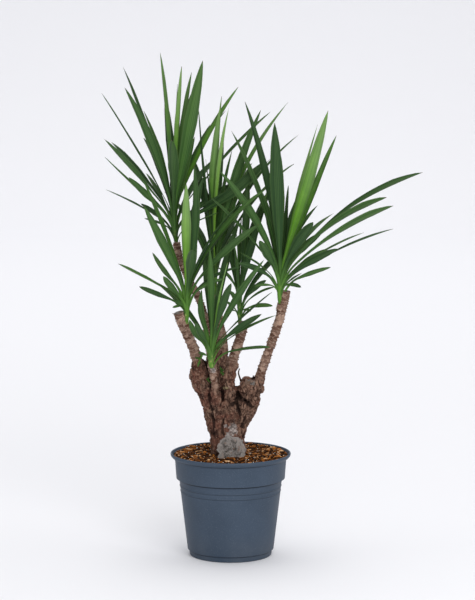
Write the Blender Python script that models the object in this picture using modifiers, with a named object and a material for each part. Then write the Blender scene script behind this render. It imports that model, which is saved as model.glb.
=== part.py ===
# Potted yucca: a branched woody trunk with six leafy heads and three sprouts, in a nursery pot.
# Metres, +Z up. The origin is the middle of the pot's flat base, on the surface it stands on.
# The front of the plant faces -Y. Rows of numbers marked "cm" are read by hand on the front view:
# how far across, how far up, and how far toward the viewer a point lies.

import math

import bmesh
import bpy
from mathutils import Matrix, Vector, noise

CM = 0.01

# Clearance kept between pieces that touch on the real plant
TOUCH_GAP = 0.0004

# The point from which the front view is read: rows of numbers slide along its lines of sight
VIEWPOINT = Vector((0.020, -7.0, 1.64))

# Pot: radius and height of each point of its outer profile, from the lip over the rolled rim, down the
# wide band, over two raised ridges and the tapering wall to the foot ring
POT_TURN_STEPS = 32
POT_RIM_RADIUS = 0.175
POT_WALL = 0.003
POT_OUTSIDE = [
    (0.1700, 0.2998), (0.1722, 0.3010), (0.1742, 0.2998), (POT_RIM_RADIUS, 0.2970), (0.1738, 0.2930),
    (0.1690, 0.2875), (0.1632, 0.2848), (0.1618, 0.2795), (0.1580, 0.2270), (0.1510, 0.2250), (0.1490, 0.2190),
    (0.1474, 0.2068), (0.1486, 0.2050), (0.1474, 0.2032),
    (0.1456, 0.1918), (0.1468, 0.1900), (0.1456, 0.1882),
    (0.1255, 0.0180), (0.1208, 0.0155), (0.1192, 0.0020), (0.1175, 0.0), (0.0, 0.0),
]
# The same of its inside, from the middle of the floor up to the lip
POT_INSIDE = [
    (0.0, POT_WALL), (0.1145, POT_WALL), (0.1175, 0.0180), (0.1225, 0.0210), (0.1464, 0.2225),
    (0.1550, 0.2290), (0.1588, 0.2800), (0.1600, 0.2870), (0.1672, 0.2925), (0.1690, 0.2965),
]
DRAIN_HOLES = 6
DRAIN_HOLE_SIDES = 10
DRAIN_HOLE_RADIUS = 0.006
DRAIN_RING_RADIUS = 0.085

# Soil
SOIL_EDGE_HEIGHT = 0.2945
SOIL_RISE_TO_BACK = 0.018
SOIL_RINGS = (0.0, 0.055, 0.080, 0.105, 0.130, 0.150)
SOIL_LEVEL_FROM = 0.160
SOIL_LUMP = 0.0035
SOIL_MEAN_LUMP = 0.6
SOIL_LUMP_SIZE = 0.022

# Trunk
TRUNK_VOXEL = 0.0032
TRUNK_FACES = 2500
TRUNK_SEAT_HEIGHT = 0.160
BARK_RELIEF = 0.0065
BARK_RELIEF_SIZE = 0.032
CANE_RELIEF = 0.0022
RELIEF_STRETCH = 0.7
CANES_FROM = (0.50, 0.60)
CANE_SIDES = 12

# Limbs and canes of the trunk, cm: across, up, toward, radius
LIMBS = {
    "butt": [(-0.9, 14, 0, 4.5), (-0.95, 26, 0, 4.75), (-0.95, 31, 0, 4.95), (-1.0, 35, 0, 5.0), (-1.0, 39, 0, 4.8),
             (-0.9, 42.5, -0.3, 3.6)],
    "front_stump": [(0.0, 31.6, 0.5, 4.1), (0.2, 31.0, 3.8, 4.3), (0.3, 30.4, 7.6, 4.25)],
    "saddle": [(1.2, 39, -0.4, 3.2), (1.8, 44.0, -1.3, 2.7), (2.0, 49.6, -1.8, 2.0)],
    "left_knob": [(-12.0, 64.0, 3.2, 1.2), (-12.7, 67.6, 4.5, 1.4)],
    "right_knob": [(14.3, 69.8, 0.8, 1.1), (14.6, 73.5, 1.0, 1.3)],
    "left_limb": [(-2.8, 35.5, 0.4, 3.3), (-4.3, 40.2, 0.5, 3.25), (-5.4, 44, 0.5, 2.85), (-7.0, 48, 0.6, 2.7),
                  (-9.2, 52, 0.8, 2.85), (-9.4, 55, 0.9, 2.25), (-9.6, 57.5, 1.1, 1.65)],
    "left_cane": [(-9.6, 57, 1.1, 1.7), (-10.5, 60, 1.8, 1.5), (-12.3, 64.2, 3.0, 1.45), (-13.9, 67.8, 4.2, 1.45),
                  (-15.3, 71.8, 5.3, 1.5)],
    "upper_left_cane": [(-3.6, 48, -0.6, 2.0), (-4.8, 54, -1.2, 1.9), (-5.6, 59, -1.8, 1.5), (-6.4, 64, -2.5, 1.25),
                        (-7.3, 69, -3.2, 1.15), (-9.2, 75.2, -4.1, 1.08), (-12.6, 81.6, -5.1, 1.02),
                        (-14.6, 86.8, -5.7, 1.05), (-15.6, 91.4, -6.0, 1.15)],
    "low_front_cane": [(-3.2, 39, 1.6, 2.0), (-4.0, 44, 3.2, 1.4), (-4.5, 48.5, 4.3, 1.25), (-4.9, 52, 4.9, 1.3),
                       (-5.3, 56.3, 5.4, 1.4)],
    "back_cane": [(-1.6, 38, -0.8, 3.2), (-2.3, 46, -1.4, 2.2), (-2.5, 52, -1.9, 2.0), (-2.6, 58, -2.7, 1.9),
                  (-2.7, 63, -3.6, 1.78), (-3.6, 68, -4.6, 1.65), (-4.2, 72, -5.6, 1.4), (-4.5, 76.2, -6.5, 1.2)],
    "middle_cane": [(-0.6, 40, 0.6, 3.2), (-0.5, 46, 0.5, 2.3), (-0.3, 51, 0.1, 1.95), (0.1, 55, -0.7, 1.5),
                    (1.1, 58.7, -1.7, 1.45), (2.2, 62, -2.6, 1.42), (3.1, 65, -3.2, 1.42), (3.9, 68.8, -4.0, 1.4)],
    "right_limb": [(0.6, 35, 0, 3.6), (2.1, 39, 0, 3.0), (4.2, 42.5, 0, 3.15), (5.1, 45.5, 0, 3.1),
                   (5.5, 49, 0, 3.05), (5.1, 51.6, 0.3, 2.6)],
    "right_cane": [(6.2, 45.5, 0.1, 2.0), (8.1, 51, 0.3, 1.65), (9.5, 55.4, 0.4, 1.36), (11.0, 59.8, 0.5, 1.28),
                   (12.5, 64, 0.6, 1.3), (13.9, 68.3, 0.7, 1.34), (15.0, 72.6, 0.8, 1.36), (16.3, 78.4, 1.0, 1.36)],
}

# A dried twig on the right stump, cm: across, up, toward, radius
TWIG = [(3.6, 49.2, 0.6, 0.36), (2.8, 51.6, 1.0, 0.26), (2.3, 53.6, 1.3, 0.2), (2.6, 54.7, 1.3, 0.15)]

# Sawn faces, cm: across, up, toward of the face's middle, then the direction that it faces, and the saw's width
SAWN_FACES = [
    ((0.3, 31.0, 6.2), (0.04, -0.97, 0.24), 9.6),
    ((-15.0, 71.0, 5.2), (-0.30, -0.18, 0.94), 5.0),
    ((16.1, 77.3, 1.0), (0.08, -0.10, 0.99), 5.0),
    ((-4.9, 54.4, 6.2), (0.42, -0.72, 0.56), 3.6),
    ((4.5, 51.0, 0.8), (-0.35, -0.42, 0.84), 5.6),
    ((3.9, 68.4, -4.0), (0.20, -0.10, 0.97), 4.0),
]

SAW_DEPTH = 0.05

# Leaves
LEAF_STATIONS = (0.0, 0.14, 0.34, 0.60, 0.84)
LEAF_OUTLINE = (0.26, 0.42, 0.80, 1.0, 0.56)
OVAL_OUTLINE = (0.22, 0.20, 0.34, 0.98, 0.86)
LEAF_ROOT_THICKNESS = 0.0024
LEAF_TIP_THICKNESS = 0.0013
LEAF_CHANNEL = 0.17
LEAF_FULL_WIDTH = 2.4
LEAF_WIDTH_TO_LENGTH = 0.075
SHOOT_SIDES = 8

# Heads, cm. "foot" and "crown" are the two ends of the leafy shoot (across, up, toward) and "thick" its
# radius at each. A shoot that breaks from a cane's side has its "heel" inside that cane. Each leaf is its
# tip's place across and up, how far the tip comes out toward the viewer from the foot, its width as seen
# from the front, and how high its middle arches over the straight line. "oval" lists the short broad-ended
# leaves by their place in "leaves". "behind" gives the leaves that the front view hides: how many, the
# first one's turn as a share of the whole spread, the way the middle of the spread faces, in degrees about
# +Z from +X, and the share of the full length that they reach.
HEADS = {
    "head_upper_left": {
        "foot": (-15.6, 90.6, -6.0), "crown": (-16.5, 101.5, -5.6), "thick": (0.74, 0.52),
        "leaves": [
            (-36.8, 134.2, 3, 0.5, 0.3), (-30.6, 141.6, -12, 1.2, 0.4), (-30.2, 135.8, 13, 2.7, 1.9),
            (-24.8, 129.2, -7, 1.6, 1.3), (-20.0, 145.8, 7, 1.4, 0.3), (-16.8, 120.8, 24, 3.2, 1.6),
            (-15.1, 136.8, -9, 0.5, 0.0), (-13.9, 141.8, 3, 1.5, 0.2), (-11.1, 140.2, -5, 1.6, 0.6),
            (-7.9, 143.5, 11, 3.9, 0.5), (-36.2, 121.2, 9, 1.7, 0.2), (-34.2, 120.3, -9, 1.8, 0.2),
            (-36.0, 116.0, -4, 1.0, -0.7), (-29.2, 110.2, 6, 2.0, -0.3), (-35.7, 106.6, 0, 0.5, 0.4),
            (-25.8, 102.6, -5, 1.5, 0.3), (-24.2, 111.4, -14, 1.2, 0.5), (-24.8, 98.3, 3, 0.8, 0.4),
            (11.4, 128.9, -12, 0.8, 0.8), (10.1, 115.0, 3, 3.3, -1.9), (2.8, 109.0, -6, 2.2, 1.2),
            (-0.3, 106.6, 5, 0.5, 0.1), (-3.5, 100.0, 3, 0.4, 0.2), (-5.8, 125.3, -9, 1.7, 0.6),
            (-10.2, 121.8, -3, 2.1, 0.5), (2.2, 136.0, -7, 1.5, 1.3),
        ],
        "oval": (), "behind": (7, 0.6, 80, 1.0),
    },
    "head_left": {
        "heel": (-12.8, 67.9, 4.6), "foot": (-12.6, 69.9, 5.5), "crown": (-12.8, 78.5, 6.0), "thick": (0.78, 0.50),
        "leaves": [
            (-24.9, 102.0, 9, 2.7, 0.3), (-25.2, 109.5, -2, 1.2, 0.4), (-12.7, 109.8, 7, 2.5, 0.2),
            (-10.4, 113.5, 1, 2.3, -1.2), (-10.9, 89.3, 19, 3.0, 1.2), (-9.2, 102.5, -5, 1.7, -0.6),
            (-13.3, 109.5, -5, 1.3, 0.3), (-22.5, 88.5, 2, 1.5, -0.8), (-32.4, 85.2, 3, 0.9, 0.1),
            (-26.4, 78.6, 5, 1.5, 0.1), (-19.4, 81.6, 8, 2.0, -0.3), (-18.4, 78.2, -3, 1.9, 0.1),
            (-15.9, 74.3, 4, 1.5, 0.1), (-16.8, 72.5, 1, 0.8, 0.3), (3.0, 84.2, 1, 1.0, 1.7),
            (-1.9, 80.8, 5, 1.3, 1.2), (10.1, 106.7, 1, 1.5, 2.7), (8.1, 96.6, 3, 2.2, 1.1),
        ],
        "oval": (9, 12, 13), "behind": (4, 0.8, 50, 0.9),
    },
    "head_front": {
        "heel": (-5.3, 53.6, 5.2), "foot": (-5.8, 55.6, 5.9), "crown": (-5.2, 63.5, 6.6), "thick": (0.74, 0.50),
        "leaves": [
            (-6.0, 90.0, 6, 2.1, 0.1), (0.2, 79.6, 13, 2.4, 0.7), (9.6, 86.3, 4, 2.1, 0.6),
            (9.0, 70.6, 4, 2.0, 0.7), (12.0, 77.0, 0, 0.5, 0.3), (13.3, 70.3, 2, 0.6, 0.7),
            (11.5, 60.9, 3, 1.0, 0.4), (-11.9, 69.0, 4, 1.8, -1.1), (-10.2, 68.0, 10, 2.0, -0.5),
            (-8.3, 77.8, -1, 1.9, -1.8), (-9.4, 59.4, 6, 0.9, 0.2), (-3.8, 79.5, -3, 1.4, 0.0),
            (-0.8, 85.7, 2, 0.5, 0.3),
        ],
        "oval": (6,), "behind": (3, 0.96, 90, 1.0),
    },
    "head_right": {
        "heel": (14.8, 73.0, 0.9), "foot": (14.2, 75.0, 1.5), "crown": (14.4, 84.0, 1.4), "thick": (0.86, 0.58),
        "leaves": [
            (4.1, 131.8, 1, 2.1, 1.5), (0.2, 123.5, -5, 1.7, 1.6), (-3.2, 112.0, 5, 2.4, 2.0),
            (-5.8, 104.3, -1, 0.9, 0.7), (12.6, 125.8, 13, 4.1, 1.0), (16.6, 107.8, -5, 1.3, -0.8),
            (27.9, 129.3, 8, 3.5, 0.1), (30.3, 122.2, -4, 2.0, 0.1), (24.9, 125.2, -7, 0.8, 0.1),
            (25.1, 102.2, -3, 1.3, 1.3), (23.8, 97.3, 11, 3.0, 0.8), (55.2, 111.6, 6, 1.6, 4.0),
            (44.8, 104.4, 10, 2.0, 4.4), (46.8, 102.0, 16, 1.9, 4.0), (26.3, 94.2, 1, 2.2, 1.0),
            (46.8, 95.3, -3, 0.7, 3.0), (38.3, 94.2, -9, 0.5, 2.0), (30.9, 89.6, 8, 2.1, 0.7),
            (27.6, 89.5, 2, 1.7, 0.7), (28.9, 84.2, 4, 1.4, 0.7), (20.6, 82.5, 6, 0.6, 0.4),
            (20.4, 78.4, 3, 1.2, 0.8), (8.3, 91.9, 9, 2.6, 0.2), (1.9, 85.4, 5, 1.8, 1.2),
            (2.4, 88.6, 2, 0.6, 0.3), (6.8, 78.6, 4, 0.8, 0.9),
        ],
        "oval": (21,), "behind": (6, 0.4, 90, 0.9),
    },
    "head_middle": {
        "foot": (2.6, 67.7, -3.8), "crown": (2.5, 77.5, -4.2), "thick": (0.76, 0.50),
        "leaves": [
            (5.0, 113.0, -2, 2.2, -0.7), (8.6, 98.5, 3, 2.5, 0.3), (-3.8, 84.2, 4, 1.0, 1.6),
            (0.8, 91.5, 1, 1.0, 0.4), (1.6, 95.0, -4, 0.6, 0.2), (3.2, 99.0, -7, 1.0, 0.2),
            (10.3, 80.4, 6, 1.7, 0.8), (12.8, 78.5, 1, 0.8, 1.1), (12.2, 73.0, 4, 1.3, 0.8),
            (5.9, 71.4, 5, 0.9, 0.6), (-0.2, 77.3, 4, 1.4, 0.5), (-1.4, 74.4, 1, 0.9, 0.3),
            (-0.8, 71.8, 3, 0.6, 0.5), (12.4, 109.9, -6, 1.9, 0.5),
        ],
        "oval": (8,), "behind": (4, 0.2, 70, 1.0),
    },
    "head_back": {
        "foot": (-4.5, 75.3, -6.6), "crown": (-4.7, 86.0, -7.0), "thick": (0.84, 0.55),
        "leaves": [
            (-2.9, 130.5, 0, 2.6, 1.4), (-2.5, 133.3, -3, 1.1, 0.3), (-0.5, 130.0, 1, 1.2, 0.9),
            (8.7, 129.5, 2, 2.7, 1.5), (16.4, 131.6, -2, 1.1, 3.3), (11.0, 125.3, -8, 1.3, 2.0),
            (19.4, 122.3, -5, 0.7, 3.5), (18.2, 114.0, -9, 0.8, 3.0), (11.3, 115.4, -12, 0.9, 2.2),
            (0.5, 118.2, -1, 1.1, 0.5), (-1.0, 108.0, -8, 3.0, 0.3), (4.3, 111.3, -3, 2.3, 1.0),
            (-9.2, 130.0, 1, 0.7, -0.5), (-7.1, 115.3, 0, 0.5, 0.3), (-7.3, 108.0, -4, 2.6, 0.3),
        ],
        "oval": (), "behind": (7, 0.68, 90, 1.0),
    },
}

# Leaves that the front view hides: they fan out to the back of their shoot by the golden ratio
GOLDEN_SHARE = 0.618034
BEHIND_SPREAD = math.radians(110)
BEHIND_RISE = (math.radians(34), math.radians(74))
BEHIND_REACH = (0.27, 0.40)
BEHIND_WIDTH = 0.026
BEHIND_ARCH = 0.022
BEHIND_ROOTS = (0.4, 0.9)

# How far up its shoot a leaf is rooted, for a leaf that lies level and for one that stands straight up
ROOT_PLACES = (0.34, 0.90)

# Small sprouts on the bark, cm
SPROUT_ARCH = 0.002
SPROUTS = {
    "sprout_left": {
        "foot": (-8.9, 57.2, 2.1), "crown": (-9.0, 57.3, 3.2), "thick": (0.30, 0.22), "wide": 0.8,
        "tips": [(-9.5, 55.1, 4.0), (-8.3, 59.3, 4.0), (-10.3, 57.9, 4.0)],
    },
    "sprout_middle": {
        "foot": (-2.7, 53.4, -0.6), "crown": (-2.7, 53.5, 0.8), "thick": (0.30, 0.22), "wide": 0.8,
        "tips": [(-3.0, 55.3, 1.9), (-2.3, 52.6, 2.2), (-1.9, 54.4, 2.0)],
    },
    "sprout_low": {
        "foot": (-6.3, 50.9, 1.8), "crown": (-6.3, 51.0, 2.9), "thick": (0.25, 0.20), "wide": 0.6,
        "tips": [(-6.9, 51.9, 3.5), (-6.3, 52.2, 3.7), (-5.9, 50.4, 3.6)],
    },
}

# Colours, linear: base colour and roughness
FINISHES = {
    "pot_plastic": ((0.085, 0.115, 0.155), 0.42),
    "soil": ((0.115, 0.045, 0.016), 0.95),
    "bark": ((0.170, 0.095, 0.062), 0.90),
    "leaf": ((0.060, 0.150, 0.045), 0.45),
}


def seen_at(across, up, toward):
    """The point seen over (across, up) of the front view, that far in front of the pot's middle. cm."""
    on_view = Vector((across * CM, 0.0, up * CM))
    return on_view.lerp(VIEWPOINT, toward * CM / -VIEWPOINT.y)


def between(ends, share):
    """The value that lies this share of the way from the first end to the second."""
    return ends[0] + (ends[1] - ends[0]) * share


def finish(name):
    colour, roughness = FINISHES[name]
    material = bpy.data.materials.new(name)
    material.use_nodes = True
    shader = material.node_tree.nodes["Principled BSDF"]
    shader.inputs["Base Color"].default_value = (*colour, 1.0)
    shader.inputs["Roughness"].default_value = roughness
    shader.inputs["Metallic"].default_value = 0.0
    return material


def paint(thing, material):
    """Give the whole of a piece one material."""
    thing.data.materials.clear()
    thing.data.materials.append(material)
    for face in thing.data.polygons:
        face.material_index = 0


def add_object(name, data, collection):
    thing = bpy.data.objects.new(name, data)
    collection.objects.link(thing)
    return thing


def settle(thing):
    """Replace an object's data by the mesh that its curve or modifiers make, with loose caps welded."""
    depsgraph = bpy.context.evaluated_depsgraph_get()
    mesh = bpy.data.meshes.new_from_object(thing.evaluated_get(depsgraph))
    if thing.type == "CURVE":
        solid = add_object(thing.name + "_solid", mesh, thing.users_collection[0])
        solid.matrix_world = thing.matrix_world
        name = thing.name
        bpy.data.objects.remove(thing)
        solid.name = name
        shape = bmesh.new()
        shape.from_mesh(mesh)
        bmesh.ops.remove_doubles(shape, verts=shape.verts, dist=0.00001)
        shape.to_mesh(mesh)
        shape.free()
        return solid
    thing.modifiers.clear()
    thing.data = mesh
    return thing


def turned(name, profile, collection):
    """A solid of revolution; the profile runs down its outer side, top to bottom."""
    mesh = bpy.data.meshes.new(name)
    points = [(radius, 0.0, height) for radius, height in profile]
    mesh.from_pydata(points, [(i, i + 1) for i in range(len(points) - 1)], [])
    thing = add_object(name, mesh, collection)
    screw = thing.modifiers.new("Turn", "SCREW")
    screw.axis = "Z"
    screw.steps = POT_TURN_STEPS
    screw.render_steps = POT_TURN_STEPS
    screw.use_merge_vertices = True
    screw.merge_threshold = 0.00001
    return settle(thing)


def rod(name, points, radii, collection, sides=8, resolution=4):
    """A tapered round rod along a smooth curve through the points."""
    curve = bpy.data.curves.new(name, "CURVE")
    curve.dimensions = "3D"
    curve.bevel_depth = 1.0
    curve.bevel_resolution = sides // 2 - 2
    curve.resolution_u = resolution
    curve.use_fill_caps = True
    spline = curve.splines.new("BEZIER")
    spline.bezier_points.add(len(points) - 1)
    for knot, point, radius in zip(spline.bezier_points, points, radii):
        knot.co = point
        knot.radius = radius
        knot.handle_left_type = "AUTO"
        knot.handle_right_type = "AUTO"
    return settle(add_object(name, curve, collection))


def use_boolean(body, operation, solver, tools):
    """Join tools to a body, or cut them out of it, in one step; the tools are then removed."""
    group = bpy.data.collections.new(body.name + "_tools")
    for tool in tools:
        group.objects.link(tool)
    step = body.modifiers.new(operation.title(), "BOOLEAN")
    step.operation = operation
    step.solver = solver
    step.operand_type = "COLLECTION"
    step.collection = group
    settle(body)
    for tool in tools:
        bpy.data.objects.remove(tool)
    bpy.data.collections.remove(group)
    return body


def make_smooth(thing, angle=math.radians(35)):
    thing.data.shade_smooth()
    thing.data.set_sharp_from_angle(angle=angle)


def make_pot(parts, cutters):
    pot = turned("pot", POT_INSIDE + POT_OUTSIDE, parts)
    drills = []
    for i in range(DRAIN_HOLES):
        turn = 2 * math.pi * (i + 0.5) / DRAIN_HOLES
        drill = bmesh.new()
        place = Matrix.Translation(
            (DRAIN_RING_RADIUS * math.cos(turn), DRAIN_RING_RADIUS * math.sin(turn), POT_WALL / 2))
        bmesh.ops.create_cone(
            drill, cap_ends=True, segments=DRAIN_HOLE_SIDES, radius1=DRAIN_HOLE_RADIUS,
            radius2=DRAIN_HOLE_RADIUS, depth=POT_WALL * 3, matrix=place)
        mesh = bpy.data.meshes.new("drain_drill")
        drill.to_mesh(mesh)
        drill.free()
        drills.append(add_object("drain_drill", mesh, cutters))
    use_boolean(pot, "DIFFERENCE", "EXACT", drills)
    make_smooth(pot)
    return pot


def make_soil(parts, trunk):
    """The filling, a touch clear of the pot all round, with a lumpy top and a hole where the trunk stands."""
    side = [(max(radius - TOUCH_GAP * 1.3, 0.0), height + TOUCH_GAP) for radius, height in POT_INSIDE[:-1]]
    top = [(radius, SOIL_EDGE_HEIGHT) for radius in SOIL_RINGS]
    soil = turned("soil", top + side[::-1], parts)
    for vertex in soil.data.vertices:
        place = vertex.co
        if place.z > side[-1][1] and place.xy.length < SOIL_LEVEL_FROM:
            lump = noise.noise(Vector((place.x, place.y, 0.0)) / SOIL_LUMP_SIZE)
            place.z += SOIL_LUMP * (SOIL_MEAN_LUMP + lump) + SOIL_RISE_TO_BACK * max(place.y, 0.0)
    hole = trunk.copy()
    hole.data = trunk.data.copy()
    parts.objects.link(hole)
    swell(hole, TOUCH_GAP * 1.5)
    use_boolean(soil, "DIFFERENCE", "MANIFOLD", [hole])
    make_smooth(soil)
    return soil


def swell(thing, by):
    """Move a mesh's surface outwards along its normals."""
    shape = bmesh.new()
    shape.from_mesh(thing.data)
    shape.normal_update()
    for vertex in shape.verts:
        vertex.co += vertex.normal * by * vertex.calc_shell_factor()
    shape.to_mesh(thing.data)
    shape.free()


def saw(middle, facing, width, cutters):
    """A box that cuts away what lies in front of a sawn face."""
    turn = facing.to_track_quat("Z", "Y").to_matrix().to_4x4()
    grow = Matrix.Diagonal((width, width, SAW_DEPTH, 1.0))
    place = Matrix.Translation(middle + facing * SAW_DEPTH / 2)
    box = bmesh.new()
    bmesh.ops.create_cube(box, size=1.0, matrix=place @ turn @ grow)
    mesh = bpy.data.meshes.new("saw")
    box.to_mesh(mesh)
    box.free()
    return add_object("saw", mesh, cutters)


def roughen(trunk):
    """Burls and hollows on the old wood; the younger canes higher up are smoother."""
    low, high = CANES_FROM
    normals = [vertex.normal.copy() for vertex in trunk.data.vertices]
    for vertex, normal in zip(trunk.data.vertices, normals):
        young = min(1.0, max(0.0, (vertex.co.z - low) / (high - low)))
        place = vertex.co / BARK_RELIEF_SIZE
        relief = noise.noise(Vector((place.x, place.y, place.z * RELIEF_STRETCH)))
        vertex.co += normal * relief * between((BARK_RELIEF, CANE_RELIEF), young)


def make_trunk(parts, cutters):
    """Butt, limbs and canes run into each other as grown wood, so they are blended before the saw cuts."""
    grown = bmesh.new()
    for name, knots in LIMBS.items():
        points = [seen_at(*knot[:3]) for knot in knots]
        limb = rod(name, points, [knot[3] * CM for knot in knots], parts, CANE_SIDES)
        grown.from_mesh(limb.data)
        bpy.data.objects.remove(limb)
    mesh = bpy.data.meshes.new("trunk")
    grown.to_mesh(mesh)
    grown.free()
    trunk = add_object("trunk", mesh, parts)
    blend = trunk.modifiers.new("Blend", "REMESH")
    blend.mode = "VOXEL"
    blend.voxel_size = TRUNK_VOXEL
    soften = trunk.modifiers.new("Soften", "SMOOTH")
    soften.factor = 0.6
    soften.iterations = 3
    settle(trunk)
    roughen(trunk)
    thin = trunk.modifiers.new("Fewer faces", "DECIMATE")
    thin.ratio = TRUNK_FACES / sum(len(face.vertices) - 2 for face in trunk.data.polygons)
    settle(trunk)
    saws = [saw(Vector((0, 0, TRUNK_SEAT_HEIGHT)), Vector((0, 0, -1)), POT_RIM_RADIUS * 2, cutters)]
    for middle, facing, width in SAWN_FACES:
        saws.append(saw(seen_at(*middle), Vector(facing).normalized(), width * CM, cutters))
    use_boolean(trunk, "DIFFERENCE", "MANIFOLD", saws)
    points = [seen_at(*knot[:3]) for knot in TWIG]
    twig = rod("twig", points, [knot[3] * CM for knot in TWIG], parts, 8, 2)
    use_boolean(trunk, "UNION", "MANIFOLD", [twig])
    return trunk


def leaf_line(root, tip, arch):
    """A leaf's midline from root to tip: it arches over the straight line by that much at its middle."""
    chord = tip - root
    over = Vector((0, 0, 1)) - chord * (chord.z / chord.length_squared)
    bend = (root + tip) / 2 + over.normalized() * arch * 2
    return lambda t: root * (1 - t) ** 2 + bend * 2 * t * (1 - t) + tip * t ** 2


def across_leaf(chord, shown_share, sight):
    """The direction across the blade, rolled until this share of its width shows along the line of sight."""
    plain = chord.cross(sight).normalized()
    deep = chord.cross(plain).normalized()
    roll = math.acos(min(1.0, shown_share))
    best = None
    for turn in (roll, -roll, math.pi - roll, math.pi + roll):
        side = plain * math.cos(turn) + deep * math.sin(turn)
        face = side.cross(chord).normalized()
        if best is None or face.z > best[0]:
            best = (face.z, side)
    return best[1]


def make_leaf(name, line, side, wide, outline, collection):
    """One blade: a shallow channel above, a keel below, a narrow root and a sharp tip. Four faces round."""
    blade = bmesh.new()
    rings = []
    for t, share in zip(LEAF_STATIONS, outline):
        middle = line(t)
        along = (line(t + 0.02) - line(max(t - 0.02, 0.0))).normalized()
        reach = (side - along * side.dot(along)).normalized()
        face = reach.cross(along)
        half = wide * share / 2
        thick = between((LEAF_ROOT_THICKNESS, LEAF_TIP_THICKNESS), t)
        edge = face * half * LEAF_CHANNEL * 2
        corners = [middle - reach * half + edge, middle + face * thick / 2,
                   middle + reach * half + edge, middle - face * thick / 2]
        rings.append([blade.verts.new(corner) for corner in corners])
    point = blade.verts.new(line(1.0))
    blade.faces.new(rings[0])
    for low, high in zip(rings, rings[1:]):
        for a, b in ((0, 1), (1, 2), (2, 3), (3, 0)):
            start, end = (b, a) if a in (1, 2) else (a, b)
            blade.faces.new((low[start], low[end], high[end]))
            blade.faces.new((low[start], high[end], high[start]))
    for a in range(4):
        blade.faces.new((rings[-1][a], rings[-1][(a + 1) % 4], point))
    bmesh.ops.recalc_face_normals(blade, faces=blade.faces)
    mesh = bpy.data.meshes.new(name)
    blade.to_mesh(mesh)
    blade.free()
    return add_object(name, mesh, collection)


def head_leaves(head):
    """Every leaf of a head: its root and tip, the arch, its real width, the share of it shown, its outline."""
    foot = seen_at(*head["foot"])
    crown = seen_at(*head["crown"])
    for number, (across, up, out, wide, arch) in enumerate(head["leaves"]):
        tip = seen_at(across, up, head["foot"][2] + out)
        rise = math.atan2(tip.z - crown.z, math.hypot(tip.x - crown.x, tip.y - crown.y))
        root = foot.lerp(crown, between(ROOT_PLACES, math.sin(max(rise, 0.0))))
        length = (tip - root).length
        full = min(LEAF_FULL_WIDTH * CM, LEAF_WIDTH_TO_LENGTH * length)
        real = max(wide * CM, full)
        outline = OVAL_OUTLINE if number in head["oval"] else LEAF_OUTLINE
        yield root, tip, arch * CM, real, wide * CM / real, outline
    count, start, facing, grown = head["behind"]
    for number in range(count):
        share = (start + number * GOLDEN_SHARE) % 1.0
        turn = math.radians(facing) + (share - 0.5) * BEHIND_SPREAD
        lift = (number + 0.5) / count
        rise = between(BEHIND_RISE, lift)
        reach = between(BEHIND_REACH, lift) * grown
        root = foot.lerp(crown, between(BEHIND_ROOTS, lift))
        way = Vector((math.cos(turn) * math.cos(rise), math.sin(turn) * math.cos(rise), math.sin(rise)))
        tip = root + way * reach
        yield root, tip, BEHIND_ARCH, BEHIND_WIDTH, abs(math.sin(turn)), LEAF_OUTLINE


def make_shoot(name, points, thick, grow, collection):
    """The leafy shoot's own stem: a round peg from its heel to its crown, thicker at its foot."""
    points = [seen_at(*point) for point in points]
    points[0] += (points[0] - points[1]).normalized() * grow
    points[-1] += (points[-1] - points[-2]).normalized() * grow
    radii = [thick[0] * CM + grow] * (len(points) - 1) + [thick[1] * CM + grow]
    return rod(name, points, radii, collection, SHOOT_SIDES, 2)


def shoot_points(head):
    return [head[end] for end in ("heel", "foot", "crown") if end in head]


def make_head(name, head, parts):
    shoot = make_shoot(name, shoot_points(head), head["thick"], 0.0, parts)
    blades = []
    for root, tip, arch, wide, shown, outline in head_leaves(head):
        side = across_leaf(tip - root, shown, VIEWPOINT - tip)
        blades.append(make_leaf("leaf", leaf_line(root, tip, arch), side, wide, outline, parts))
    use_boolean(shoot, "UNION", "MANIFOLD", blades)
    return shoot


def make_sprout(name, sprout, parts):
    bud = make_shoot(name, (sprout["foot"], sprout["crown"]), sprout["thick"], 0.0, parts)
    root = seen_at(*sprout["foot"]).lerp(seen_at(*sprout["crown"]), 0.7)
    blades = []
    for across, up, toward in sprout["tips"]:
        tip = seen_at(across, up, toward)
        side = across_leaf(tip - root, 0.9, VIEWPOINT - tip)
        line = leaf_line(root, tip, SPROUT_ARCH)
        blades.append(make_leaf("leaf", line, side, sprout["wide"] * CM, LEAF_OUTLINE, parts))
    use_boolean(bud, "UNION", "MANIFOLD", blades)
    return bud


def main():
    for thing in list(bpy.data.objects):
        bpy.data.objects.remove(thing)
    parts = bpy.data.collections.new("potted_yucca")
    cutters = bpy.data.collections.new("cutters")
    for collection in (parts, cutters):
        bpy.context.scene.collection.children.link(collection)

    trunk = make_trunk(parts, cutters)
    soil = make_soil(parts, trunk)
    pot = make_pot(parts, cutters)
    sockets = []
    heads = []
    for name, head in HEADS.items():
        sockets.append(make_shoot("socket", shoot_points(head), head["thick"], TOUCH_GAP, cutters))
        heads.append(make_head(name, head, parts))
    for name, sprout in SPROUTS.items():
        ends = (sprout["foot"], sprout["crown"])
        sockets.append(make_shoot("socket", ends, sprout["thick"], TOUCH_GAP, cutters))
        heads.append(make_sprout(name, sprout, parts))
    use_boolean(trunk, "DIFFERENCE", "MANIFOLD", sockets)
    make_smooth(trunk)

    paint(pot, finish("pot_plastic"))
    paint(soil, finish("soil"))
    paint(trunk, finish("bark"))
    leaf = finish("leaf")
    for head in heads:
        paint(head, leaf)
        make_smooth(head)
    bpy.data.collections.remove(cutters)


if __name__ == "__main__":
    main()
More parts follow.
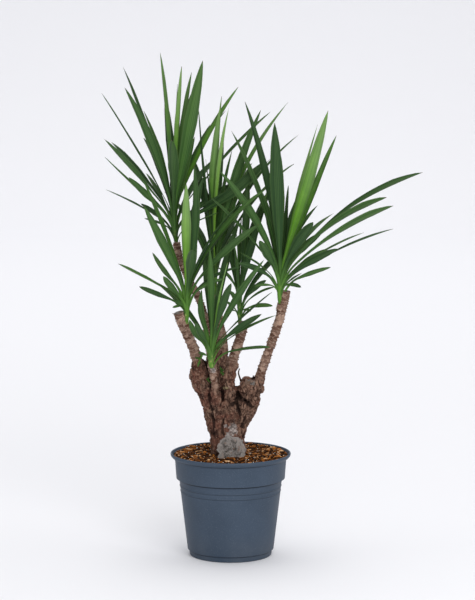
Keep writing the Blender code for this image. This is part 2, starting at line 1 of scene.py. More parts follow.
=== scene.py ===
# %% [markdown]
# # A potted yucca
# A yucca with a thick, gnarled trunk and six heads of sword-shaped leaves stands in a blue-grey nursery pot.
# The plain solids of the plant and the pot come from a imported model. This lesson dresses them: it grows
# finer leaves along the same lines, gives the wood its bark, and heaps chips and perlite on the soil.
# All sizes are in metres, +Z is up, and the front of the plant faces -Y.

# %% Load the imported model
import math

import bmesh
import bpy
import numpy as np
from mathutils import Matrix, Vector, kdtree, noise
from mathutils.bvhtree import BVHTree


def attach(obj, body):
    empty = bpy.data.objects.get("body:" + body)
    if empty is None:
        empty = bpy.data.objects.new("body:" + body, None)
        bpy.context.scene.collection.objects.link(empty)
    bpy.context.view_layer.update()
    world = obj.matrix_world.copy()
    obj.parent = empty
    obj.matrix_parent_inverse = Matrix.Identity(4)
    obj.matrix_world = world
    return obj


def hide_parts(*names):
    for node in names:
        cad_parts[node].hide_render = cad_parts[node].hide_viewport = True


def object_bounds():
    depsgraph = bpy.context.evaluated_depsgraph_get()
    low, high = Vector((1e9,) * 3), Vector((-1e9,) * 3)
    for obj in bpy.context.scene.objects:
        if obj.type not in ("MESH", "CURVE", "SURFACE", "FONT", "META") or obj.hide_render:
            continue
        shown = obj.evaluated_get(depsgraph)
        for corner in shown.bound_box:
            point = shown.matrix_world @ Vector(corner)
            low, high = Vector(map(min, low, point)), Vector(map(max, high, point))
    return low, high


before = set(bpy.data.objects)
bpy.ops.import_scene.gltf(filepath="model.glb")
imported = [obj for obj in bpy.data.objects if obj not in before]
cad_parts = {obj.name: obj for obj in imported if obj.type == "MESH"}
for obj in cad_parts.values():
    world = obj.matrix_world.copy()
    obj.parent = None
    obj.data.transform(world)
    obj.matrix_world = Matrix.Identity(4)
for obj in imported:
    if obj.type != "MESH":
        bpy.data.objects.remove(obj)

cad_box = [list(corner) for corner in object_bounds()]
print("CAD box", [[round(x, 3) for x in corner] for corner in cad_box])
print("nodes", sorted(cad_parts))

# %% [markdown]
# ## Working by hand in code
# An operator acts on everything that is selected, so each step starts with an empty selection and one
# active object. A finished piece keeps its place in its mesh, with its object at the origin, and rides on
# the plant's only body, "root".

# %% Small helpers
def pick(thing):
    """Select this object alone, and make it the active one."""
    bpy.ops.object.select_all(action="DESELECT")
    thing.select_set(True)
    bpy.context.view_layer.objects.active = thing
    return thing


def apply_modifiers(thing):
    pick(thing)
    for modifier in list(thing.modifiers):
        bpy.ops.object.modifier_apply(modifier=modifier.name)
    return thing


def take_away(thing, tool, label):
    """Cut the shape of a tool out of a piece, and throw the tool away."""
    cut = thing.modifiers.new(label, "BOOLEAN")
    cut.operation = "DIFFERENCE"
    cut.solver = "MANIFOLD"
    cut.object = tool
    apply_modifiers(thing)
    bpy.data.objects.remove(tool)


def keep(thing, slot, *replaced):
    """Bring the place of a finished piece into its mesh, and hang it on the plant."""
    pick(thing)
    bpy.ops.object.transform_apply(location=True, rotation=True, scale=True)
    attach(thing, "root")
    if replaced:
        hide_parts(*replaced)
    faces = sum(len(face.vertices) - 2 for face in thing.data.polygons)
    print("made", thing.name, "-", faces, "triangles")


def smooth(thing, degrees):
    """Shade a piece smooth, apart from edges that turn more than this."""
    pick(thing)
    bpy.ops.object.shade_smooth_by_angle(angle=math.radians(degrees))


def store(thing, name, values):
    """Keep one number for each point of a mesh, which its material can read."""
    layer = thing.data.attributes.new(name, "FLOAT", "POINT")
    layer.data.foreach_set("value", np.asarray(values, np.float32))


def ease(x):
    x = np.clip(x, 0.0, 1.0)
    return x * x * (3 - 2 * x)


def between(ends, share):
    return ends[0] + (ends[1] - ends[0]) * share


def unit(rows):
    """Rows of three numbers, each made one long."""
    return rows / np.maximum(np.linalg.norm(rows, axis=1, keepdims=True), 1e-9)


def resample(rows, count):
    """That many rows, spread evenly along the rows given."""
    spots = np.linspace(0, len(rows) - 1, count)
    return np.stack([np.interp(spots, range(len(rows)), column) for column in np.transpose(rows)], axis=1)


# %% [markdown]
# ## The camera
# The plant is seen from 7 m away, a little above its top, through a long lens. Everything that was read
# off the front view slides along the lines of sight from this point, so the view and the shapes agree.

# %% Camera
CM = 0.01
VIEWPOINT = Vector((0.020, -7.0, 1.64))
AIM = Vector((0.020, 0.0, 0.747))
SENSOR_HEIGHT = 36.0
FRAME_HEIGHT_PX = 600
FOCAL_PX = 2446

camera_data = bpy.data.cameras.new("camera")
camera_data.sensor_fit = "VERTICAL"
camera_data.sensor_height = SENSOR_HEIGHT
camera_data.lens = FOCAL_PX / FRAME_HEIGHT_PX * SENSOR_HEIGHT
camera = bpy.data.objects.new("camera", camera_data)
bpy.context.scene.collection.objects.link(camera)
camera.location = VIEWPOINT
camera.rotation_euler = (AIM - VIEWPOINT).to_track_quat("-Z", "Y").to_euler()
bpy.context.scene.camera = camera
print("lens", round(camera_data.lens, 1), "mm")


def seen_at(across, up, toward):
    """The point seen over (across, up) of the front view, that far in front of the pot's middle, in cm."""
    on_view = Vector((across * CM, 0.0, up * CM))
    return on_view.lerp(VIEWPOINT, toward * CM / -VIEWPOINT.y)


# %% [markdown]
# ## Materials from nodes
# A finish is more than one colour: it varies in patches, changes along the piece, and has a fine relief.
# The helpers below add nodes by their plain names, so that a finish reads like a recipe. Patterns sit on
# Object coordinates, or on numbers stored in the mesh where they follow a leaf or a limb.

# %% Node helpers
class Finish:
    """A material that is put together node by node around one Principled BSDF."""

    def __init__(self, name, roughness=0.5):
        self.material = bpy.data.materials.new(name)
        self.material.use_nodes = True
        self.tree = self.material.node_tree
        self.shader = self.tree.nodes["Principled BSDF"]
        self.shader.inputs["Roughness"].default_value = roughness

    def node(self, kind, **settings):
        made = self.tree.nodes.new(kind)
        for key, value in settings.items():
            setattr(made, key, value)
        return made

    def put(self, socket, value):
        if isinstance(value, bpy.types.NodeSocket):
            self.tree.links.new(value, socket)
        else:
            socket.default_value = value

    def place(self):
        return self.node("ShaderNodeTexCoord").outputs["Object"]

    def stored(self, name):
        return self.node("ShaderNodeAttribute", attribute_name=name).outputs["Fac"]

    def noise(self, where, scale, detail=4.0, rough=0.55, stretch=None):
        if stretch:
            mapping = self.node("ShaderNodeMapping")
            self.put(mapping.inputs["Vector"], where)
            mapping.inputs["Scale"].default_value = stretch
            where = mapping.outputs["Vector"]
        made = self.node("ShaderNodeTexNoise")
        self.put(made.inputs["Vector"], where)
        made.inputs["Scale"].default_value = scale
        made.inputs["Detail"].default_value = detail
        made.inputs["Roughness"].default_value = rough
        return made.outputs["Fac"]

    def from_seams(self, where, scale):
        """How far a place is from the seams between irregular cells."""
        made = self.node("ShaderNodeTexVoronoi", feature="DISTANCE_TO_EDGE")
        self.put(made.inputs["Vector"], where)
        made.inputs["Scale"].default_value = scale
        return made.outputs["Distance"]

    def math(self, operation, a, b=0.0):
        made = self.node("ShaderNodeMath", operation=operation)
        self.put(made.inputs[0], a)
        self.put(made.inputs[1], b)
        return made.outputs[0]

    def times(self, a, b):
        return self.math("MULTIPLY", a, b)

    def span(self, value, low, high, to_low=0.0, to_high=1.0):
        """Spread the values from low to high smoothly over the new ends, and hold them there."""
        made = self.node("ShaderNodeMapRange", interpolation_type="SMOOTHSTEP")
        for socket, number in zip(made.inputs[:5], (value, low, high, to_low, to_high)):
            self.put(socket, number)
        return made.outputs[0]

    def mix(self, share, a, b):
        made = self.node("ShaderNodeMix", data_type="RGBA")
        self.put(made.inputs["Factor"], share)
        for socket, colour in ((made.inputs[6], a), (made.inputs[7], b)):
            self.put(socket, colour if isinstance(colour, bpy.types.NodeSocket) else (*colour, 1.0))
        return made.outputs[2]

    def ramp(self, value, stops):
        """The colour that a value has on a scale of stops, each given as its position and its colour."""
        made = self.node("ShaderNodeValToRGB")
        self.put(made.inputs[0], value)
        scale = made.color_ramp.elements
        for end, (position, colour) in zip(scale, (stops[0], stops[-1])):
            end.position = position
            end.color = (*colour, 1.0)
        for position, colour in stops[1:-1]:
            scale.new(position).color = (*colour, 1.0)
        return made.outputs[0]

    def colour(self, value):
        self.put(self.shader.inputs["Base Color"], value)

    def roughness(self, value):
        self.put(self.shader.inputs["Roughness"], value)

    def bump(self, height, strength, distance):
        made = self.node("ShaderNodeBump")
        made.inputs["Strength"].default_value = strength
        made.inputs["Distance"].default_value = distance
        self.put(made.inputs["Height"], height)
        self.tree.links.new(made.outputs["Normal"], self.shader.inputs["Normal"])


# %% [markdown]
# ## Floor and light
# A studio sweep has no corner: the floor rises behind the plant in one soft bend. It is a plane whose back
# edge is extruded upwards, with the fold rounded by a bevel. Two large soft lights stand in front, a wide
# one hangs over floor and backdrop, and a pale sky fills the shadows.

# %% Studio sweep
FLOOR_SIZE = 24.0
FLOOR_FRONT = -12.0
WALL_HEIGHT = 6.0
SWEEP_BEND = 2.5
SWEEP_SEGMENTS = 24

bpy.ops.object.select_all(action="DESELECT")
bpy.ops.mesh.primitive_plane_add(size=FLOOR_SIZE, location=(0, FLOOR_FRONT + FLOOR_SIZE / 2, 0))
sweep = bpy.context.object
sweep.name = "studio_sweep"
bpy.ops.object.mode_set(mode="EDIT")
bpy.ops.mesh.select_mode(type="EDGE")
bpy.ops.mesh.select_all(action="DESELECT")
sheet = bmesh.from_edit_mesh(sweep.data)
for edge in sheet.edges:
    edge.select = all(vertex.co.y > FLOOR_SIZE / 2 - 0.01 for vertex in edge.verts)
bmesh.update_edit_mesh(sweep.data)
bpy.ops.mesh.extrude_region_move(TRANSFORM_OT_translate={"value": (0, 0, WALL_HEIGHT)})
bpy.ops.object.mode_set(mode="OBJECT")
bend = sweep.modifiers.new("Bend", "BEVEL")
bend.width = SWEEP_BEND
bend.segments = SWEEP_SEGMENTS
bend.limit_method = "ANGLE"
apply_modifiers(sweep)
bpy.ops.object.shade_smooth()
paper = Finish("studio_paper", roughness=0.9)
paper.colour((0.835, 0.835, 0.86, 1.0))
paper.shader.inputs["Specular IOR Level"].default_value = 0.1
sweep.data.materials.append(paper.material)
print("sweep points", len(sweep.data.vertices))

# %% Lights
SKY_COLOUR = (0.97, 0.975, 1.0, 1.0)
SKY_STRENGTH = 0.41


def soft_light(name, place, target, size, power):
    """A square lamp of that size in metres and power in watts, turned to its target."""
    data = bpy.data.lights.new(name, "AREA")
    data.shape = "SQUARE"
    data.size = size
    data.energy = power
    lamp = bpy.data.objects.new(name, data)
    bpy.context.scene.collection.objects.link(lamp)
    lamp.location = place
    lamp.rotation_euler = (Vector(target) - Vector(place)).to_track_quat("-Z", "Y").to_euler()


soft_light("key", (1.5, -4.4, 3.1), (0, 0, 0.7), 2.8, 130)
soft_light("fill", (-0.7, -5.0, 1.6), (0, 0, 0.6), 1.8, 30)
soft_light("overhead", (0.0, 5.4, 7.5), (0, 5.5, 0), 14.0, 775)
sky = bpy.data.worlds.new("sky")
sky.use_nodes = True
sky.node_tree.nodes["Background"].inputs["Color"].default_value = SKY_COLOUR
sky.node_tree.nodes["Background"].inputs["Strength"].default_value = SKY_STRENGTH
bpy.context.scene.world = sky
bpy.context.scene.view_settings.view_transform = "Standard"

# %% [markdown]
# ## Where every leaf goes
# Each leaf was read off the front view: where its tip is, across and up, how far the tip comes out toward
# the viewer from the foot of its shoot, how wide the leaf looks, and how high its middle arches. The last
# number is its youth: old leaves are dark and bluish, and the young ones in the middle light and yellowish.
# A few leaves that the front hides fan out behind each shoot, turned by the golden ratio, as plants do.
#
# A shoot runs from its foot, or from a heel in the wood below it, up to its crown, and "thick" is its radius
# low and high. "oval" and "necked" number some leaves by their place in the list: the first are widest well
# past the middle, and the second have a long narrow neck. "fresh" is how light a green the foot of the shoot
# is. "behind" says how many leaves are hidden, where their fan starts, which way it faces in degrees, and how
# large they are.

# %% Heads, in cm
HEADS = {
    "head_upper_left": {
        "foot": (-15.6, 90.6, -6.0), "crown": (-16.5, 101.5, -5.6), "thick": (0.74, 0.52),
        "leaves": [
            (-36.8, 134.2, 3, 0.5, 0.3, .35), (-30.6, 141.6, -12, 1.2, 0.4, .14),
            (-30.2, 135.8, 13, 2.4, 1.9, .22), (-24.8, 129.2, -7, 1.3, 1.0, .15),
            (-20.0, 145.8, 7, 1.4, 0.3, .66), (-16.8, 120.8, 24, 3.2, 1.6, .12),
            (-15.1, 136.8, -9, 0.5, 0.0, .40), (-13.9, 141.8, 3, 1.5, 0.2, .95),
            (-11.1, 140.2, -5, 1.6, 0.6, .62), (-7.9, 143.5, 11, 3.9, 0.5, .60),
            (-36.2, 121.2, 9, 1.3, 0.0, .34), (-34.2, 120.3, -9, 1.3, 0.6, .12),
            (-36.0, 116.0, -4, 0.6, -0.7, .30), (-29.2, 110.2, 6, 2.0, -0.3, .30),
            (-35.7, 106.6, 0, 0.5, 0.4, .40), (-25.8, 102.6, -5, 1.5, 0.3, .30),
            (-24.2, 111.4, -14, 1.2, 0.5, .12), (-24.8, 98.3, 3, 0.8, 0.4, .35),
            (11.4, 128.9, -12, 0.8, 0.8, .10), (10.1, 115.0, 3, 3.3, -1.9, .18),
            (2.8, 109.0, -6, 2.2, 1.2, .25), (-0.3, 106.6, 5, 0.5, 0.1, .30), (-3.5, 100.0, 3, 0.4, 0.2, .30),
            (-5.8, 125.3, -9, 1.7, 0.6, .15), (-10.2, 121.8, -3, 2.1, 0.5, .35),
            (2.2, 136.0, -7, 1.5, 1.3, .60),
        ],
        "oval": (), "fresh": 0.25, "behind": (7, 0.6, 80, 1.0),
    },
    "head_left": {
        "heel": (-12.8, 67.9, 4.6), "foot": (-12.6, 69.9, 5.5),
        "crown": (-12.8, 78.5, 6.0), "thick": (0.78, 0.50),
        "leaves": [
            (-24.9, 102.0, 9, 2.7, 0.3, .30), (-25.2, 109.5, -2, 1.2, 0.4, .40),
            (-12.7, 108.4, 7, 2.9, 0.2, .84), (-10.4, 113.5, 1, 2.3, -1.2, .38),
            (-10.9, 89.3, 19, 3.0, 1.2, .25), (-9.2, 102.5, -5, 1.7, -0.6, .15),
            (-13.3, 109.5, -5, 1.3, 0.3, .15), (-22.5, 88.5, 2, 1.5, -0.8, .20),
            (-32.4, 85.2, 3, 0.9, 0.1, .35), (-26.4, 78.6, 5, 1.5, 0.1, .40),
            (-19.4, 81.6, 8, 2.0, -0.3, .35), (-18.4, 78.2, -3, 1.9, 0.1, .15),
            (-15.9, 74.3, 4, 1.5, 0.1, .35), (-16.8, 72.5, 1, 0.8, 0.3, .35), (3.0, 84.2, 1, 1.0, 1.7, .35),
            (-1.9, 80.8, 5, 1.3, 1.2, .35), (10.1, 106.7, 1, 1.5, 2.7, .34), (8.1, 96.6, 3, 2.2, 1.1, .25),
        ],
        "oval": (9, 12, 13), "behind": (4, 0.8, 50, 0.9),
    },
    "head_front": {
        "heel": (-5.3, 53.6, 5.2), "foot": (-5.8, 55.6, 5.9),
        "crown": (-5.2, 63.5, 6.6), "thick": (0.74, 0.50),
        "leaves": [
            (-6.0, 90.0, 6, 2.1, 0.1, .55), (0.2, 79.6, 13, 2.4, 0.7, .35), (9.6, 86.3, 4, 2.1, 0.6, .40),
            (9.0, 70.6, 4, 2.0, 0.7, .20), (12.0, 77.0, 0, 0.5, 0.3, .35), (13.3, 70.3, 2, 0.6, 0.7, .35),
            (11.5, 60.9, 3, 1.0, 0.4, .25), (-11.9, 69.0, 4, 1.8, -1.1, .30),
            (-10.2, 68.0, 10, 2.0, -0.5, .35), (-8.3, 77.8, -1, 1.9, -1.8, .30),
            (-9.4, 59.4, 6, 0.9, 0.2, .50), (-3.8, 79.5, -3, 1.4, 0.0, .20), (-0.8, 85.7, 2, 0.5, 0.3, .90),
        ],
        "oval": (6,), "behind": (3, 0.96, 90, 1.0),
    },
    "head_right": {
        "heel": (14.8, 73.0, 0.9), "foot": (14.2, 75.0, 1.5),
        "crown": (14.4, 84.0, 1.4), "thick": (0.86, 0.58),
        "leaves": [
            (4.1, 131.8, 1, 2.1, 1.5, .20), (0.2, 123.5, -5, 1.7, 1.6, .25), (-3.2, 112.0, 5, 2.4, 2.0, .30),
            (-5.8, 104.3, -1, 0.9, 0.7, .35), (12.6, 125.8, 13, 4.1, 1.0, .28),
            (16.6, 107.8, -5, 1.3, -0.8, .15), (27.9, 129.3, 8, 3.5, 0.1, .80),
            (30.3, 122.2, -4, 2.0, 0.1, .55), (24.9, 125.2, -7, 0.8, 0.1, .90),
            (25.1, 102.2, -3, 1.3, 1.3, .35), (23.8, 97.3, 11, 3.0, 0.8, .20),
            (55.2, 111.6, 6, 1.6, 4.3, .30), (44.8, 104.4, 10, 2.0, 3.6, .30),
            (46.8, 102.0, 16, 1.9, 2.2, .35), (26.3, 94.2, 1, 2.2, 1.0, .20), (46.8, 95.3, -3, 0.7, 1.4, .35),
            (38.3, 94.2, -9, 0.5, 1.2, .30), (30.9, 89.6, 8, 2.1, 0.7, .30), (27.6, 89.5, 2, 1.7, 0.7, .25),
            (28.9, 84.2, 4, 1.4, 0.7, .30), (20.6, 82.5, 6, 0.6, 0.4, .35), (20.4, 78.4, 3, 1.2, 0.8, .30),
            (8.3, 91.9, 9, 2.6, 0.2, .35), (1.9, 85.4, 5, 1.8, 1.2, .20), (2.4, 88.6, 2, 0.6, 0.3, .35),
            (6.8, 78.6, 4, 0.8, 0.9, .40),
        ],
        "oval": (21,), "necked": (11, 12, 13, 15, 16), "behind": (6, 0.4, 90, 0.9),
    },
    "head_middle": {
        "foot": (2.6, 67.7, -3.8), "crown": (2.5, 77.5, -4.2), "thick": (0.76, 0.50),
        "leaves": [
            (5.0, 113.0, -2, 2.2, -0.7, .20), (8.6, 98.5, 3, 2.5, 0.3, .35), (-3.8, 84.2, 4, 1.0, 1.6, .35),
            (0.8, 91.5, 1, 1.0, 0.4, .40), (1.6, 95.0, -4, 0.6, 0.2, .40), (3.2, 99.0, -7, 1.0, 0.2, .35),
            (10.3, 80.4, 6, 1.7, 0.8, .35), (12.8, 78.5, 1, 0.8, 1.1, .40), (12.2, 73.0, 4, 1.3, 0.8, .35),
            (5.9, 71.4, 5, 0.9, 0.6, .40), (-0.2, 77.3, 4, 1.4, 0.5, .35), (-1.4, 74.4, 1, 0.9, 0.3, .35),
            (-0.8, 71.8, 3, 0.6, 0.5, .35), (12.4, 109.9, -6, 1.9, 0.5, .70),
        ],
        "oval": (8,), "fresh": 0.45, "behind": (4, 0.2, 70, 1.0),
    },
    "head_back": {
        "foot": (-4.5, 75.3, -6.6), "crown": (-4.7, 86.0, -7.0), "thick": (0.84, 0.55),
        "leaves": [
            (-2.9, 130.5, 0, 2.6, 1.4, .84), (-2.5, 133.3, -3, 1.1, 0.3, .80),
            (-0.5, 130.0, 1, 1.2, 0.9, .95), (8.7, 129.5, 2, 2.7, 1.5, .15), (16.4, 131.6, -2, 1.1, 3.3, .70),
            (11.0, 125.3, -8, 1.3, 2.0, .15), (19.4, 122.3, -5, 0.7, 3.5, .40),
            (18.2, 114.0, -9, 0.8, 3.0, .40), (11.3, 115.4, -12, 0.9, 2.2, .35),
            (0.5, 118.2, -1, 1.1, 0.5, .20), (-1.0, 108.0, -8, 3.0, 0.3, .12),
            (4.3, 111.3, -3, 2.3, 1.0, .30), (-9.2, 130.0, 1, 0.7, -0.5, .20),
            (-7.1, 115.3, 0, 0.5, 0.3, .35), (-7.3, 108.0, -4, 2.6, 0.3, .12),
        ],
        "oval": (), "fresh": 0.35, "behind": (7, 0.68, 90, 1.0),
    },
}
print("leaves read off the front view:", sum(len(head["leaves"]) for head in HEADS.values()))

# %% [markdown]
# ## One blade, modelled flat
# A yucca leaf is a stiff sword: it clasps the shoot with a pale base, narrows to a neck, is widest a little
# past halfway and runs out to a sharp brown point. The blade is modelled once, flat: a grid, a metre long, is
# moved so that it starts at the origin and is given an upper and a lower skin with Solidify. Its own UV map
# runs across and along the blade, which the veins will follow. Every leaf is then a copy of this blade.

# %% Flat blade
BLADE_ACROSS = 8
BLADE_ALONG = 34

bpy.ops.object.select_all(action="DESELECT")
bpy.ops.mesh.primitive_grid_add(x_subdivisions=BLADE_ACROSS, y_subdivisions=BLADE_ALONG, size=1.0)
flat_blade = bpy.context.object
flat_blade.name = "flat_blade"
bpy.ops.object.mode_set(mode="EDIT")
bpy.ops.mesh.select_all(action="SELECT")
bpy.ops.transform.translate(value=(0, 0.5, 0))
bpy.ops.object.mode_set(mode="OBJECT")
skins = flat_blade.modifiers.new("Upper and lower skin", "SOLIDIFY")
skins.thickness = 1.0
skins.offset = 0.0
apply_modifiers(flat_blade)

blade_points = np.array([vertex.co for vertex in flat_blade.data.vertices])
ACROSS = blade_points[:, 0] * 2
ALONG = blade_points[:, 1]
SKIN = np.sign(blade_points[:, 2])
print("blade points", len(blade_points), "skins", np.unique(SKIN))

# %% [markdown]
# ## From the flat blade to a grown leaf
# The leaf's midline is a smooth arch from the shoot to the tip. Each point of the flat blade is carried to
# its place beside that line. The blade is rolled just far enough to look as wide as it did from the front.
# Near the shoot the midline is drawn in against the stem and the blade is curled round it, as a real leaf
# base clasps the shoot. A little twist, sway and waviness keeps two leaves from looking alike.
#
# The outlines below give the half width of a blade, as a share of its widest, at eight stations from the
# shoot to the tip. A leaf that rises steeply keeps its width further down than one that hangs low.

# %% Lines and outline of a leaf
GOLDEN_SHARE = 0.618034
BEHIND_SPREAD = math.radians(110)
BEHIND_RISE = (math.radians(34), math.radians(74))
BEHIND_REACH = (0.27, 0.40)
BEHIND_ROOTS = (0.4, 0.9)
BEHIND_WIDTH = 0.026
BEHIND_ARCH = 0.022
BEHIND_YOUTH = 0.22
ROOT_PLACES = (0.34, 0.90)
LEAF_FULL_WIDTH = 2.4
LEAF_WIDTH_TO_LENGTH = 0.075
ROLLED_MOST = 2.3
LEAF_STATIONS = (0.0, 0.07, 0.14, 0.34, 0.60, 0.84, 0.95, 1.0)
LEAF_OUTLINE = (0.24, 0.26, 0.34, 0.76, 1.0, 0.62, 0.27, 0.015)
OVAL_OUTLINE = (0.22, 0.20, 0.20, 0.40, 0.98, 0.90, 0.52, 0.03)
NECKED_OUTLINE = (0.22, 0.24, 0.26, 0.38, 0.82, 0.96, 0.52, 0.02)
LOW_OUTLINE = (0.20, 0.19, 0.21, 0.44, 1.0, 0.78, 0.38, 0.015)
LOW_RISE = math.radians(56)


def across_leaf(chord, shown_share, sight):
    """The direction across the blade, rolled until this share of its width shows along the line of sight."""
    plain = chord.cross(sight).normalized()
    deep = chord.cross(plain).normalized()
    roll = math.acos(min(1.0, shown_share))
    turned = [plain * math.cos(turn) + deep * math.sin(turn)
              for turn in (roll, -roll, math.pi - roll, math.pi + roll)]
    return max(turned, key=lambda side: side.cross(chord).z)


def head_leaves(head):
    """Every leaf of a head: root, tip, arch, real width, the share of it that shows, outline and youth."""
    foot = seen_at(*head["foot"])
    crown = seen_at(*head["crown"])
    for number, (across, up, out, wide, arch, youth) in enumerate(head["leaves"]):
        tip = seen_at(across, up, head["foot"][2] + out)
        rise = math.atan2(tip.z - crown.z, math.hypot(tip.x - crown.x, tip.y - crown.y))
        place = between(ROOT_PLACES, math.sin(max(rise, 0.0)))
        root = foot.lerp(crown, place)
        full = min(LEAF_FULL_WIDTH * CM, LEAF_WIDTH_TO_LENGTH * (tip - root).length, ROLLED_MOST * wide * CM)
        real = max(wide * CM, full)
        outline = LEAF_OUTLINE if rise > LOW_RISE else LOW_OUTLINE
        outline = OVAL_OUTLINE if number in head["oval"] else outline
        outline = NECKED_OUTLINE if number in head.get("necked", ()) else outline
        yield root, tip, arch * CM, real, wide * CM / real, outline, youth
    count, start, facing, size = head["behind"]
    for number in range(count):
        share = (start + number * GOLDEN_SHARE) % 1.0
        turn = math.radians(facing) + (share - 0.5) * BEHIND_SPREAD
        lift = (number + 0.5) / count
        rise = between(BEHIND_RISE, lift)
        root = foot.lerp(crown, between(BEHIND_ROOTS, lift))
        way = Vector((math.cos(turn) * math.cos(rise), math.sin(turn) * math.cos(rise), math.sin(rise)))
        tip = root + way * between(BEHIND_REACH, lift) * size
        yield root, tip, BEHIND_ARCH, BEHIND_WIDTH, abs(math.sin(turn)), LEAF_OUTLINE, BEHIND_YOUTH


print("leaves in all:", sum(len(list(head_leaves(head))) for head in HEADS.values()))

# %% Midline of a leaf
CLASP_DROP = (0.030, 0.052)
CLASP_RADIUS = [(0.0, 0.0040), (0.02, 0.0056), (0.05, 0.0066), (0.10, 0.0052), (0.2, 0.0040)]
CLASP_LOWEST = 0.001
NECK_LENGTH = 0.065
NECK_LONGEST_SHARE = 0.35
NECK_STEPS = 16
FREE_STEPS = 50
JUST_BELOW = 0.999
UP = Vector((0, 0, 1))


def along_shoot(ends, reach):
    """The point that far up the line through a shoot's ends."""
    for start, end in zip(ends, ends[1:]):
        length = (end - start).length
        if reach <= length or end is ends[-1]:
            return start.lerp(end, reach / length)
        reach -= length


def leaf_path(leaf, ends, scale, chance):
    """The midline of a leaf from its clasping base to the tip, and what goes with each point of it."""
    root, tip, arch = leaf[:3]
    # Where the base clasps the shoot, a little below the root
    chord = tip - root
    axis = (ends[-1] - ends[-2]).normalized()
    outward = (chord - axis * chord.dot(axis)).normalized()
    below = sum((end - start).length for start, end in zip(ends, ends[1:-1]))
    up_shoot = below + (root - ends[-2]).length
    base = max(CLASP_LOWEST, up_shoot - between(CLASP_DROP, chance[3]) * scale)
    radius = scale * np.interp(base / scale, *zip(*CLASP_RADIUS))
    start = np.array(along_shoot(ends, base) + outward * radius)
    # The free blade is a plain arch beyond its neck
    over = (UP - chord * (chord.z / chord.length_squared)).normalized()
    p0, p1, p2 = (np.array(p) for p in (root, (root + tip) / 2 + over * arch * 2, tip))
    neck = min(NECK_LONGEST_SHARE, NECK_LENGTH * scale / chord.length)
    s = np.linspace(neck, 1, FREE_STEPS)[:, None]
    free = p0 * (1 - s) ** 2 + p1 * 2 * s * (1 - s) + p2 * s ** 2
    # The neck leaves the shoot along it and bends over smoothly into the arch
    join_way = (p1 - p0) * (1 - neck) + (p2 - p1) * neck
    join_way /= np.linalg.norm(join_way)
    pull = np.linalg.norm(free[0] - start)
    h = np.linspace(0, 1, NECK_STEPS)[:-1, None]
    bent = (start * (2 * h ** 3 - 3 * h ** 2 + 1) + np.array(axis) * pull * (h ** 3 - 2 * h ** 2 + h)
            + free[0] * (3 * h ** 2 - 2 * h ** 3) + join_way * pull * (h ** 3 - h ** 2))
    path = np.concatenate([bent, free])
    share = np.concatenate([neck * h[:, 0] * JUST_BELOW, s[:, 0]])
    opened = np.concatenate([h[:, 0], np.ones(len(s))])
    run = np.concatenate([[0], np.cumsum(np.linalg.norm(np.diff(path, axis=0), axis=1))])
    return path, share, opened, run, radius, np.array(axis), np.array(outward)


print("neck of a leaf", NECK_LENGTH * 1000, "mm")

# %% Bend a copy of the blade
CLASP_WRAP = 1.2
CHANNEL = 0.46
CHANNEL_FOLD = 0.75
LEAF_THICK = (0.0020, 0.0010)
EDGE_THINNER = 0.78
LEAF_SWAY = 0.003
LEAF_TWIST = 0.22
LEAF_WAVE = 0.0007
BOX_INSET = 0.0004


def grow_leaf(leaf, ends, scale, chance):
    """The places of all the points of one leaf, and how far each is from the foot of the leaf."""
    root, tip, _, wide, shown, outline, _ = leaf
    path, share, opened, run, radius, axis, outward = leaf_path(leaf, ends, scale, chance)
    side = np.array(across_leaf(tip - root, shown, VIEWPOINT - tip))
    round_stem = np.cross(axis, -outward)
    if round_stem @ side < 0:
        side = -side
    # Where on the midline each point belongs, which way the leaf runs there, and how far it has opened
    t = 0.6 * ALONG + 0.4 * ALONG ** 2
    reached = t * run[-1]
    line = np.stack([np.interp(reached, run, path[:, i]) for i in range(3)], axis=1)
    slope = np.gradient(path, run, axis=0)
    way = unit(np.stack([np.interp(reached, run, slope[:, i]) for i in range(3)], axis=1))
    blade_share = np.interp(reached, run, share)
    free = np.interp(reached, run, opened)
    spread = ease(free)
    # Across the leaf: round the shoot at the base, and turned to its own side further out
    open_up = ease(free * 0.8 + blade_share * 1.2)[:, None]
    reach = round_stem * (1 - open_up) + side * open_up
    reach = unit(reach - way * (reach * way).sum(1, keepdims=True))
    face = np.cross(reach, way)
    if face[0] @ outward > 0:
        face = -face
    twist = (LEAF_TWIST * (chance[0] - 0.5) * t)[:, None]
    reach, face = reach * np.cos(twist) + face * np.sin(twist), face * np.cos(twist) - reach * np.sin(twist)
    # The cross-section: curled round the shoot, then a channel with wavy edges, as thin as paper at the rim
    blade_half = wide / 2 * np.interp(blade_share, LEAF_STATIONS, outline)
    half = radius * CLASP_WRAP * (1 - spread) + blade_half * spread
    curl = np.maximum(CLASP_WRAP * (1 - spread), 1e-3)
    curled_side = np.sin(curl * ACROSS) / curl * half
    curled_rise = (1 - np.cos(curl * ACROSS)) / curl * half
    folded = CHANNEL_FOLD * np.abs(ACROSS) + (1 - CHANNEL_FOLD) * ACROSS ** 2
    rise = half * CHANNEL * folded * spread + curled_rise
    ripple = np.sin(t * (9 + 6 * chance[1]) + 6.3 * chance[2] + ACROSS)
    rise = rise + LEAF_WAVE * np.abs(ACROSS) * ripple * spread
    sway = LEAF_SWAY * (chance[1] - 0.5) * 2 * np.sin(np.pi * t) * spread
    thick = between(LEAF_THICK, t) * (1 - EDGE_THINNER * ACROSS ** 2) * np.minimum(1.0, (1.02 - t) * 12)
    points = line + reach * (curled_side + sway)[:, None] + face * (rise + SKIN * thick / 2)[:, None]
    return np.clip(points, np.array(cad_box[0]) + BOX_INSET, np.array(cad_box[1]) - BOX_INSET), reached


print("points of a leaf", len(SKIN))

